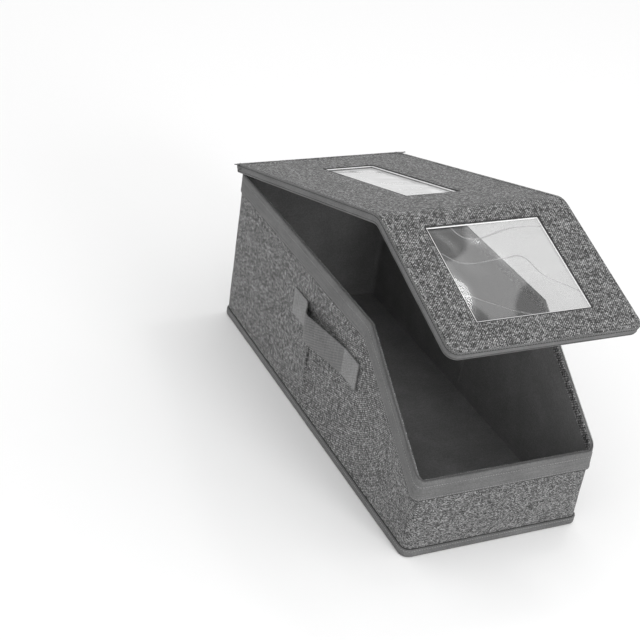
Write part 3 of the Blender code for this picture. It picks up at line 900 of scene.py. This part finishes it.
def window_loop(window, grow):
    """Pairs of x and t round a window, larger than its opening by grow."""
    x_edge = window["half"] + grow
    low, high = window["near"] - grow, window["far"] + grow
    path = [(-x_edge, t) for t in divided([low, high])]
    path += [(x, high) for x in divided([-x_edge, x_edge])[1:]]
    path += [(x_edge, t) for t in divided([high, low])[1:]]
    return path + [(x, low) for x in divided([x_edge, -x_edge])[1:-1]]


def piping(name, paths, radius, finish, body, slot, closed=True):
    """A thin round cord sewn down along each path, as one plain mesh."""
    curve = bpy.data.curves.new(name, "CURVE")
    curve.dimensions = "3D"
    curve.bevel_depth = radius
    curve.bevel_resolution = 2
    for path in paths:
        spline = curve.splines.new("POLY")
        spline.points.add(len(path) - 1)
        spline.use_cyclic_u = closed
        for point, spot in zip(spline.points, path):
            point.co = (*spot, 1.0)
    obj = bpy.data.objects.new(name, curve)
    bpy.context.scene.collection.objects.link(obj)
    obj = plain(obj)
    obj.data.materials.clear()
    obj.data.materials.append(finish)
    obj.data.shade_smooth()
    return place(obj, body, slot)


def film_spot(x, t, window):
    free = min(1.0, max(0.0, min(window["half"] - abs(x), t - window["near"], window["far"] - t) / 0.02))
    wave = wobble(Vector((x, t * 0.8, 7.0)), 13.0, 0.0022) + wobble(Vector((x + t, t, 2.0)), 31.0, 0.0005)
    return lid_spot(x, t, FILM_HEIGHT + wave * free)


for label, window in WINDOWS.items():
    half = window["half"] + FILM_LAP
    xs = divided([-half, 0.0, half])
    film_ts = divided([window["near"] - FILM_LAP, window["far"] + FILM_LAP])
    fine_xs = [a + (b - a) * k / 2 for a, b in zip(xs, xs[1:]) for k in (0, 1)] + [xs[-1]]
    fine_ts = [a + (b - a) * k / 2 for a, b in zip(film_ts, film_ts[1:]) for k in (0, 1)] + [film_ts[-1]]
    rows = [[film_spot(x, t, window) for x in fine_xs] for t in fine_ts]
    finish = slope_film if label == "front" else top_film
    film = surface(f"{label}_film", rows, [finish], LID_INSIDE)
    film = thicken(film, FILM_THICK)
    place(film, "lid", "clear_film", f"{label}_window")

    # A white cord just inside the opening: a painted highlight along the film's turned-up edge.
    edge_line = [lid_spot(x, t, 0.0074) for x, t in window_loop(window, -0.0012)]
    piping(f"{label}_film_edge_highlight", [edge_line], 0.0008, painted_edge_highlight, "lid", "clear_film")
    turned_in = [lid_spot(x, t, 0.0088) for x, t in window_loop(window, 0.0003)]
    piping(f"{label}_window_piping", [turned_in], 0.0006, dark_cord_and_shadow_line, "lid", "woven_fabric")

# %% [markdown]
# ## The cloth hinge
# The lid hangs on nothing but cloth. A strip is sewn to the back wall, bends freely along the top of it
# and is bound into the lid. The bending strip is built with its upper rows turned to where the lid stands,
# so it meets the lid at this angle.

# %% Hinge cloth
HINGE_HALF = HALF_WIDTH - ZIP_WRAP - GAP
hinge_xs = divided([-HINGE_HALF, 0.0, HINGE_HALF])
LOWER_HINGE = (
    (0.0007, -0.0152),
    (0.0010, -0.0146),
    (0.0009, -0.0100),
    (0.0009, -0.0050),
    (0.0011, -0.0020),
)
UPPER_HINGE = ((0.0015, 0.0016), (0.0014, 0.0040), (0.0013, 0.0070))

hinge_rows = []
for reach, z in LOWER_HINGE:
    hinge_rows.append([Vector((x, BACK + reach, BACK_HEIGHT + z)) for x in hinge_xs])
hinge_rows.append([Vector((x, BACK + 0.0017, BACK_HEIGHT - 0.0004)) for x in hinge_xs])
for reach, z in UPPER_HINGE:
    hinge_rows.append([turned(Vector((x, BACK + reach, BACK_HEIGHT + z))) for x in hinge_xs])
hinge_cloth = surface("hinge_cloth", hinge_rows, [tape], CENTRE)
hinge_cloth = thicken(hinge_cloth, 0.0010, offset=0.0)
hinge_cloth.data.name = "hinge_cloth"
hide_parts("hinge_tape")
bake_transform(hinge_cloth)

# %% Binding of the lid's back edge
BACK_PROFILE = (
    (0.0020, 0.0028),
    (0.0024, 0.0034),
    (0.0025, 0.0060),
    (0.0024, 0.0088),
    (0.0017, 0.0101),
    (0.0002, 0.0104),
    (-0.0030, 0.0104),
    (-0.0050, 0.0103),
    (-0.0056, 0.0098),
)
back_half = HALF_WIDTH + LID_OVERHANG - 0.0002
back_xs = divided([-back_half, 0.0, back_half])
back_rows = []
for reach, z in BACK_PROFILE:
    row = []
    for x in back_xs:
        soft = wobble(Vector((x, reach * 5, z * 5)), 34.0, 0.0004)
        row.append(turned(Vector((x, BACK + reach + soft, BACK_HEIGHT + z))))
    back_rows.append(row)
lid_back_edge = surface("lid_back_edge", back_rows, [woven], LID_INSIDE)
lid_back_edge = thicken(lid_back_edge, 0.0009)
place(lid_back_edge, "lid", "grosgrain_tape", "hinge_strip")

# %% [markdown]
# ## Loose ends at the back corners
# Where the edge tapes of the lid run out, their folded ends stick out as small points. They are four
# tapered strips, each a surface that narrows along its length.


# %% Loose ends at the back corners
def corner_tip(name, side, behind, height, length, droop):
    """A tapered end of tape that sticks out past the lid's back corner."""
    rows = []
    for i in range(6):
        share = i / 5
        x = side * (HALF_WIDTH + LID_OVERHANG - 0.002 + length * share)
        half = 0.0042 * (1 - 0.8 * share)
        t = LID_BACK_T - behind - 0.002 * share
        rows.append([lid_spot(x, t + k * half, height + droop * share**2) for k in (-1, -0.5, 0, 0.5, 1)])
    tip = surface(name, rows, [tape], lid_spot(0, LID_BACK_T, -0.05))
    place(thicken(tip, 0.0011, offset=0.0), "lid", "grosgrain_tape")


for side, name in ((-1, "left"), (1, "right")):
    corner_tip(f"{name}_upper_tape_end", side, 0.0045, 0.0096, 0.0085, 0.0008)
    corner_tip(f"{name}_lower_tape_end", side, 0.0100, 0.0050, 0.0065, -0.0020)

# %% [markdown]
# ## The handles
# Each handle is a webbing strap. Both ends are folded under and sewn flat as a patch. Between them the
# strap has more length than the wall behind it, and it has been folded, so it rises steeply from the rear
# patch to a soft ridge and runs down straight to the front one.

# %% Handles
STRAP_WIDTH = 0.037
STRAP_Z = 0.1425
STRAP_FRONT = FRONT + 0.165
PATCH = 0.038
HAND_SPAN = 0.110
RIDGE_BACK = 0.029
RIDGE_OUT = 0.017
STRAP_THICK = 0.0018
PATCH_LIFT = 0.0012
RIDGE_SOFT = 0.006


def rounded_path(points, reach, steps):
    """An open path with its inner corners rounded over a length of reach on both sides."""
    path = [points[0]]
    for before, bend, after in zip(points, points[1:], points[2:]):
        start = bend + (before - bend).normalized() * reach
        end = bend + (after - bend).normalized() * reach
        for i in range(steps + 1):
            q = i / steps
            path.append(start * (1 - q) ** 2 + bend * (2 * q * (1 - q)) + end * q**2)
    path.append(points[-1])
    return path


def strap_path():
    """Points along the strap as y and stand-off, front to back."""
    rear = STRAP_FRONT + PATCH + HAND_SPAN
    corners = (
        (STRAP_FRONT, PATCH_LIFT),
        (STRAP_FRONT + PATCH, PATCH_LIFT),
        (rear - RIDGE_BACK, RIDGE_OUT),
        (rear, PATCH_LIFT),
        (rear + PATCH, PATCH_LIFT),
    )
    path = rounded_path([Vector(c) for c in corners], RIDGE_SOFT, 8)
    fine = [path[0]]
    for before, after in zip(path, path[1:]):
        count = max(1, math.ceil((after - before).length / 0.004))
        fine += [before.lerp(after, i / count) for i in range(1, count + 1)]
    return fine


def build_handle(side):
    name = "left" if side < 0 else "right"
    rows = []
    path = strap_path()
    sewn = [y < STRAP_FRONT + PATCH or y > STRAP_FRONT + PATCH + HAND_SPAN for y, lift in path]
    for y, lift in path:
        row = []
        for k in range(-6, 7):
            share = k / 6
            cup = 0.0010 * (share**2 - 0.4) * min(1.0, lift / 0.006) if lift > 0.004 else 0.0
            tilt = 0.0016 * share * min(1.0, max(0.0, (lift - 0.004) / 0.008))
            soft = wobble(Vector((y, share * 0.02, side)), 40.0, 0.0007) * min(1.0, lift / 0.004)
            x = side * (HALF_WIDTH + GAP + STRAP_THICK / 2 + lift - cup + soft)
            row.append(Vector((x, y + tilt, STRAP_Z + share * STRAP_WIDTH / 2)))
        rows.append(row)
    # The sewn rows take the lighter copy of the webbing as painted light, the free span the darker one as
    # painted shade.
    strap = surface(
        f"{name}_strap",
        rows,
        [webbing, lit_webbing_patch],
        Vector((0, -0.05, STRAP_Z)),
        finish_of=lambda i, j: 1 if sewn[i] and sewn[i + 1] else 0,
    )
    strap = thicken(strap, STRAP_THICK, offset=0.0)
    bevel = strap.modifiers.new("Soft edges", "BEVEL")
    bevel.width = 0.0005
    bevel.segments = 2
    bevel.limit_method = "ANGLE"
    strap = plain(strap)
    place(strap, "case", "webbing", f"{name}_handle")


def build_patch_pads(side):
    """The folded-under ends, which lift each patch off the wall."""
    name = "left" if side < 0 else "right"
    for label, start in (("front", STRAP_FRONT), ("rear", STRAP_FRONT + PATCH + HAND_SPAN)):
        rows = []
        for k in range(5):
            y = start + 0.0006 + (PATCH - 0.0012) * k / 4
            x = side * (HALF_WIDTH + GAP + 0.0002)
            half = STRAP_WIDTH / 2 - 0.0006
            rows.append([Vector((x, y, STRAP_Z + share * half)) for share in (-1, 0, 1)])
        pad = surface(f"{name}_{label}_patch_fold", rows, [webbing], Vector((0, -0.05, STRAP_Z)))
        place(thicken(pad, PATCH_LIFT, offset=1.0), "case", "webbing")


for side in (-1, 1):
    build_handle(side)
    build_patch_pads(side)

# %% [markdown]
# ## The label pocket
# A bound frame is sewn to the right-hand side, with a clear sheet and a card behind it. The frame is a
# rounded tape profile carried round a rectangle, and the clear sheet stands off a little at its open top.

# %% Label pocket
LABEL_Y = (FRONT + 0.154, FRONT + 0.256)
LABEL_Z = (0.0185, 0.105)
LABEL_BORDER = 0.0125
label_wall = HALF_WIDTH + GAP


def ring(inset, lift, steps=12):
    """Points round the pocket's rectangle, drawn in by inset."""
    y0, y1 = LABEL_Y[0] + inset, LABEL_Y[1] - inset
    z0, z1 = LABEL_Z[0] + inset, LABEL_Z[1] - inset
    corners = ((y0, z0), (y1, z0), (y1, z1), (y0, z1))
    found = []
    for (ya, za), (yb, zb) in zip(corners, corners[1:] + corners[:1]):
        for i in range(steps):
            y, z = ya + (yb - ya) * i / steps, za + (zb - za) * i / steps
            soft = wobble(Vector((y, z, 5.0)), 45.0, 0.0003)
            found.append(Vector((label_wall + max(0.0, lift + soft), y, z)))
    return found


FRAME_PROFILE = (
    (0.0, 0.0),
    (0.0002, 0.0010),
    (0.0012, 0.0015),
    (0.0062, 0.0013),
    (0.0113, 0.0015),
    (0.0123, 0.0010),
)
frame_rows = [ring(inset, lift) for inset, lift in FRAME_PROFILE] + [ring(LABEL_BORDER, 0.0)]
label_tape = surface("label_tape", frame_rows, [tape], Vector((0.1, -0.07, 0.06)), closed=True)
label_tape.data.set_sharp_from_angle(angle=math.radians(50))
place(label_tape, "case", "grosgrain_tape", "label_frame")


def label_sheet(name, lift, bulge, thick, finish, slot, node):
    inset = LABEL_BORDER + GAP
    y0, y1 = LABEL_Y[0] + inset, LABEL_Y[1] - inset
    z0, z1 = LABEL_Z[0] + inset, LABEL_Z[1] - inset
    rows = []
    for i in range(13):
        z = z0 + (z1 - z0) * i / 12
        row = []
        for j in range(15):
            y = y0 + (y1 - y0) * j / 14
            bow = math.sin(math.pi * j / 14) * (i / 12) ** 3 * bulge
            soft = abs(wobble(Vector((y, z, 9.0)), 26.0, 0.0004)) * math.sin(math.pi * i / 12)
            row.append(Vector((label_wall + lift + bow + soft, y, z)))
        rows.append(row)
    sheet = surface(name, rows, [finish], Vector((0.1, -0.07, 0.06)))
    place(thicken(sheet, thick), "case", slot, node)


label_sheet("blank_card", 0.0005, 0.0003, 0.0004, card, "card", "label_card")
label_sheet("label_film", 0.0012, 0.0012, 0.0003, label_clear, "clear_film", "label_window")

# %% [markdown]
# ## Stitches and zip teeth
# Stitches and teeth are the same thing to a computer: one small shape repeated along a path. A Geometry
# Nodes tree does both. It takes the path as loose edges, spaces points along it, sets the shape on each,
# turned along the path, and ends by making the copies real, because an export drops instances.


# %% The tree that repeats a bead along a path
def bead_tree():
    tree = bpy.data.node_groups.new("beads_on_a_path", "GeometryNodeTree")
    sockets = {
        "Path": "Geometry",
        "Spacing": "Float",
        "Size": "Vector",
        "Up": "Vector",
        "Finish": "Material",
    }
    found = {}
    for label, kind in sockets.items():
        item = tree.interface.new_socket(label, in_out="INPUT", socket_type=f"NodeSocket{kind}")
        found[label] = item.identifier
    tree.interface.new_socket("Beads", in_out="OUTPUT", socket_type="NodeSocketGeometry")

    def node(kind, settings=None, inputs=None):
        made = tree.nodes.new(kind)
        for key, value in (settings or {}).items():
            setattr(made, key, value)
        for key, value in (inputs or {}).items():
            if isinstance(value, bpy.types.NodeSocket):
                tree.links.new(value, made.inputs[key])
            else:
                made.inputs[key].default_value = value
        return made

    given = node("NodeGroupInput").outputs
    curve = node("GeometryNodeMeshToCurve", inputs={"Mesh": given["Path"]}).outputs[0]
    inputs = {"Curve": curve, "Length": given["Spacing"]}
    points = node("GeometryNodeResampleCurve", {"mode": "LENGTH"}, inputs)
    tangent = node("GeometryNodeInputTangent").outputs[0]
    along = node("FunctionNodeAlignRotationToVector", {"axis": "X"}, {"Vector": tangent}).outputs[0]
    settings = {"axis": "Z", "pivot_axis": "X"}
    inputs = {"Rotation": along, "Vector": given["Up"]}
    upright = node("FunctionNodeAlignRotationToVector", settings, inputs)
    ball = node("GeometryNodeMeshUVSphere", inputs={"Segments": 6, "Rings": 4, "Radius": 0.5}).outputs[0]
    bead = node("GeometryNodeTransform", inputs={"Geometry": ball, "Scale": given["Size"]}).outputs[0]
    inputs = {"Points": points.outputs[0], "Instance": bead, "Rotation": upright.outputs[0]}
    copies = node("GeometryNodeInstanceOnPoints", inputs=inputs).outputs[0]
    real = node("GeometryNodeRealizeInstances", inputs={"Geometry": copies}).outputs[0]
    smooth = node("GeometryNodeSetShadeSmooth", inputs={"Geometry": real}).outputs[0]
    inputs = {"Geometry": smooth, "Material": given["Finish"]}
    painted = node("GeometryNodeSetMaterial", inputs=inputs).outputs[0]
    node("NodeGroupOutput", inputs={"Beads": painted})
    return tree, found


BEADS, BEAD_INPUTS = bead_tree()


def beads(name, paths, spacing, size, up, finish, body, slot, *nodes):
    """Repeats a bead of this size along each path, as one plain mesh that rides on a body."""
    points, links = [], []
    for path in paths:
        first = len(points)
        points += [tuple(point) for point in path]
        links += [(first + i, first + i + 1) for i in range(len(path) - 1)]
    mesh = bpy.data.meshes.new(name)
    mesh.from_pydata(points, links, [])
    obj = bpy.data.objects.new(name, mesh)
    bpy.context.scene.collection.objects.link(obj)
    modifier = obj.modifiers.new("Beads", "NODES")
    modifier.node_group = BEADS
    values = {"Spacing": spacing, "Size": size, "Up": up, "Finish": finish}
    for label, value in values.items():
        modifier[BEAD_INPUTS[label]] = value
    return place(plain(obj), body, slot, *nodes)


# %% Zip teeth
TOOTH_PITCH = 0.0014
TOOTH_SIZE = (0.0009, 0.0011, 0.0024)

body_teeth_path = []
for p, out in rim_stations:
    body_teeth_path.append(p + out * 0.0006 + Vector((0, 0, band_z(p.y, 0.0) + 0.0004)))
tooth = (TOOTH_PITCH, TOOTH_SIZE)
beads("body_zip_teeth", [body_teeth_path], *tooth, (0, 0, 1), nylon, "case", "zip_coil", "zip_coil_body")

lid_up = LID_TURN @ Vector((0, 0, 1))
lid_teeth_path = [lid_spot(x, t, 0.0008) for x, t in lid_outline(0.0026)]
beads("lid_zip_teeth", [lid_teeth_path], *tooth, tuple(lid_up), nylon, "lid", "zip_coil", "zip_coil_lid")

# %% Stitches
STITCH_PITCH = 0.0034
STITCH_SIZE = (0.0026, 0.0007, 0.0005)


def rim_line(reach, down):
    return [rim_spot(p, out, reach, down) for p, out in rim_stations]


surface_out = RIM_OUTSIDE + 0.0006
rim_paths = [rim_line(surface_out, down) for down in (0.0085, 0.0250)]
rim_paths.append(rim_line(RIM_INSIDE - 0.0006, 0.0105))
beads("rim_stitches", rim_paths, STITCH_PITCH, STITCH_SIZE, (0, 0, 1), thread, "case", "grosgrain_tape")
# A dark cord along the rim band's lower border: a painted shadow line under the band's edge.
rim_shadow_line_path = rim_line(RIM_OUTSIDE + 0.0001, 0.0272)
piping("rim_painted_shadow_line", [rim_shadow_line_path], 0.0005, dark_cord_and_shadow_line, "case", "grosgrain_tape", closed=False)

base_path = []
for p, out in loop_stations + loop_stations[:1]:
    spot = p + out * 0.0024
    base_path.append(Vector((spot.x, spot.y, 0.0084)))
beads("base_stitches", [base_path], STITCH_PITCH, STITCH_SIZE, (0, 0, 1), thread, "case", "grosgrain_tape")

lid_paths = [
    [lid_spot(x, t, 0.0104) for x, t in lid_outline(0.0050)],
    [lid_spot(x, t, 0.0080) for x, t in lid_outline(0.0006)],
]
for window in WINDOWS.values():
    path = window_loop(window, WINDOW_SEAM)
    lid_paths.append([lid_spot(x, t, cover_height(x, t)) for x, t in path + path[:1]])
beads("lid_stitches", lid_paths, STITCH_PITCH, STITCH_SIZE, tuple(lid_up), thread, "lid", "woven_fabric")


# A dark cord just above the base binding.
foot_path = []
for p, out in loop_stations:
    spot = p + out * 0.0004
    foot_path.append(Vector((spot.x, spot.y, 0.0108)))
piping("foot_dark_line", [foot_path], 0.0005, dark_cord_and_shadow_line, "case", "grosgrain_tape")
# Two dark cords along the lid flange's upper and lower borders: painted shadow lines.
flange_paths = []
for inset, h in ((0.0003, 0.0078), (0.0006, 0.0004)):
    flange_paths.append([lid_spot(x, t, h) for x, t in lid_outline(inset)])
piping("lid_painted_shadow_lines", flange_paths, 0.0004, dark_cord_and_shadow_line, "lid", "grosgrain_tape", closed=False)


def patch_paths(side, start):
    """A square with its diagonals, sewn through a patch."""
    x = side * (HALF_WIDTH + GAP + STRAP_THICK + PATCH_LIFT)
    y0, y1 = start + 0.004, start + PATCH - 0.004
    z0, z1 = STRAP_Z - STRAP_WIDTH / 2 + 0.004, STRAP_Z + STRAP_WIDTH / 2 - 0.004
    a, b, c, d = (Vector((x, y, z)) for y, z in ((y0, z0), (y1, z0), (y1, z1), (y0, z1)))
    return [[a, b], [b, c], [c, d], [d, a], [a, c], [b, d]]


patches = []
for side in (-1, 1):
    for start in (STRAP_FRONT, STRAP_FRONT + PATCH + HAND_SPAN):
        patches += patch_paths(side, start)
beads("handle_stitches", patches, 0.0030, (0.0025, 0.0008, 0.0008), (1, 0, 0), thread, "case", "webbing")

label_paths = []
for inset in (0.0022, 0.0104):
    path = ring(inset, 0.0016)
    label_paths.append(path + path[:1])
label_stitch = (0.0022, 0.0004, 0.0005)
beads("label_stitches", label_paths, 0.0030, label_stitch, (1, 0, 0), thread, "case", "grosgrain_tape")

# %% [markdown]
# ## Sliders and pulls
# With the case open, both sliders stand at the ends of the zip on the back wall. A slider is two plates
# shaped like a shield round a core, and a wire bail on it carries a flat pull that swings.

# %% Sliders and pulls
SLIDER_X = HALF_WIDTH - 0.020
SLIDER_Z = BACK_HEIGHT - 0.0165
SLIDER_Y = BACK + GAP + 0.0012 + GAP
SLIDER_DEPTH = 0.004
FACE_Y = SLIDER_Y + SLIDER_DEPTH
WIRE = 0.0006


def flat_curve(name, outlines, depth, bevel, y):
    """A flat outline in the XZ plane, with round edges, as a mesh."""
    curve = bpy.data.curves.new(name, "CURVE")
    curve.dimensions = "2D"
    curve.fill_mode = "BOTH"
    curve.extrude = depth / 2 - bevel
    curve.bevel_depth = bevel
    curve.bevel_resolution = 2
    curve.offset = -bevel
    for outline_points in outlines:
        spline = curve.splines.new("POLY")
        spline.points.add(len(outline_points) - 1)
        spline.use_cyclic_u = True
        for point, (x, z) in zip(spline.points, outline_points):
            point.co = (x, z, 0, 1)
    obj = bpy.data.objects.new(name, curve)
    bpy.context.scene.collection.objects.link(obj)
    obj.matrix_world = Matrix.Translation((0, y, 0)) @ Matrix.Rotation(math.radians(90), 4, "X")
    obj = plain(obj)
    bm = bmesh.new()
    bm.from_mesh(obj.data)
    bmesh.ops.remove_doubles(bm, verts=bm.verts, dist=1e-6)
    bmesh.ops.recalc_face_normals(bm, faces=bm.faces)
    bm.to_mesh(obj.data)
    bm.free()
    obj.data.materials.clear()
    obj.data.materials.append(metal)
    obj.data.shade_smooth()
    obj.data.set_sharp_from_angle(angle=math.radians(35))
    return obj


def soft_corners(corners, radius, steps=5):
    """A closed outline with rounded corners, as pairs."""
    points = [Vector(corner_point) for corner_point in corners]
    found = []
    for i, here in enumerate(points):
        before, after = points[i - 1] - here, points[(i + 1) % len(points)] - here
        reach = min(radius, before.length * 0.45, after.length * 0.45)
        start, end = here + before.normalized() * reach, here + after.normalized() * reach
        for k in range(steps + 1):
            q = k / steps
            found.append(tuple(start * (1 - q) ** 2 + here * (2 * q * (1 - q)) + end * q**2))
    return found


def joined(name, parts):
    bm = bmesh.new()
    for part in parts:
        bm.from_mesh(part.data)
        bpy.data.objects.remove(part, do_unlink=True)
    mesh = bpy.data.meshes.new(name)
    bm.to_mesh(mesh)
    bm.free()
    mesh.materials.append(metal)
    obj = bpy.data.objects.new(name, mesh)
    bpy.context.scene.collection.objects.link(obj)
    return obj


def build_slider(side):
    name = "left" if side < 0 else "right"
    x0, z0 = side * SLIDER_X, SLIDER_Z
    right_half = [(0.0044, 0.0044), (0.0045, 0.0010), (0.0028, -0.0045)]
    shield = [(-0.0044, 0.0044)] + right_half + [(-0.0028, -0.0045), (-0.0045, 0.0010)]
    plate = soft_corners([(x0 + x, z0 + z) for x, z in shield], 0.0016)
    core = soft_corners([(x0 + x * 0.55, z0 + z * 0.8) for x, z in shield], 0.0010)
    parts = [
        flat_curve(f"{name}_outer_plate", [plate], 0.0013, 0.0003, FACE_Y - 0.00065),
        flat_curve(f"{name}_inner_plate", [plate], 0.0011, 0.0003, SLIDER_Y + 0.00055),
        flat_curve(f"{name}_core", [core], 0.0020, 0.0001, (SLIDER_Y + FACE_Y) / 2),
    ]
    curve = bpy.data.curves.new(f"{name}_bail", "CURVE")
    curve.dimensions = "3D"
    curve.bevel_depth = WIRE
    curve.bevel_resolution = 3
    curve.use_fill_caps = True
    rise, reach = 0.0030, 0.0036
    near, far = FACE_Y - 0.0008, FACE_Y + reach
    corners = [(near, rise), (far, rise), (far, -rise), (near, -rise)]
    path = rounded_path([Vector((x0, y, z0 + z)) for y, z in corners], 0.0014, 6)
    spline = curve.splines.new("POLY")
    spline.points.add(len(path) - 1)
    for point, spot in zip(spline.points, path):
        point.co = (*spot, 1.0)
    bail = bpy.data.objects.new(f"{name}_bail", curve)
    bpy.context.scene.collection.objects.link(bail)
    bail = plain(bail)
    bail.data.shade_smooth()
    parts.append(bail)
    place(joined(f"{name}_zip_slider", parts), "case", "bright_metal", f"{name}_slider")


def build_pull(side):
    name = "left" if side < 0 else "right"
    x0, z0 = side * SLIDER_X, SLIDER_Z
    rim = 0.0015
    top = rim / 2
    neck = top - 0.0080
    outer = [
        (-0.0037, top),
        (0.0037, top),
        (0.0037, neck + rim),
        (0.0030, neck),
        (0.0031, top - 0.0300),
        (-0.0031, top - 0.0300),
        (-0.0030, neck),
        (-0.0037, neck + rim),
    ]
    high, low = -rim / 2, -rim / 2 - 0.0050
    hole = [(-0.0021, high), (0.0021, high), (0.0021, low), (-0.0021, low)]
    tab = [(-0.0019, -0.0100), (0.0019, -0.0100), (0.0019, -0.0268), (-0.0019, -0.0268)]
    outlines = []
    for corners, radius in ((outer, 0.0012), (hole, 0.0008)):
        outlines.append(soft_corners([(x0 + x, z0 + z) for x, z in corners], radius))
    y = FACE_Y + 0.0015
    blade = flat_curve(f"{name}_blade", outlines, 0.0012, 0.0002, y)
    raised = soft_corners([(x0 + x, z0 + z) for x, z in tab], 0.0008)
    panel = flat_curve(f"{name}_panel", [raised], 0.0016, 0.0002, y)
    place(joined(f"{name}_zip_pull", [blade, panel]), f"{name}_pull", "bright_metal", f"{name}_pull")


for side in (-1, 1):
    build_slider(side)
    build_pull(side)
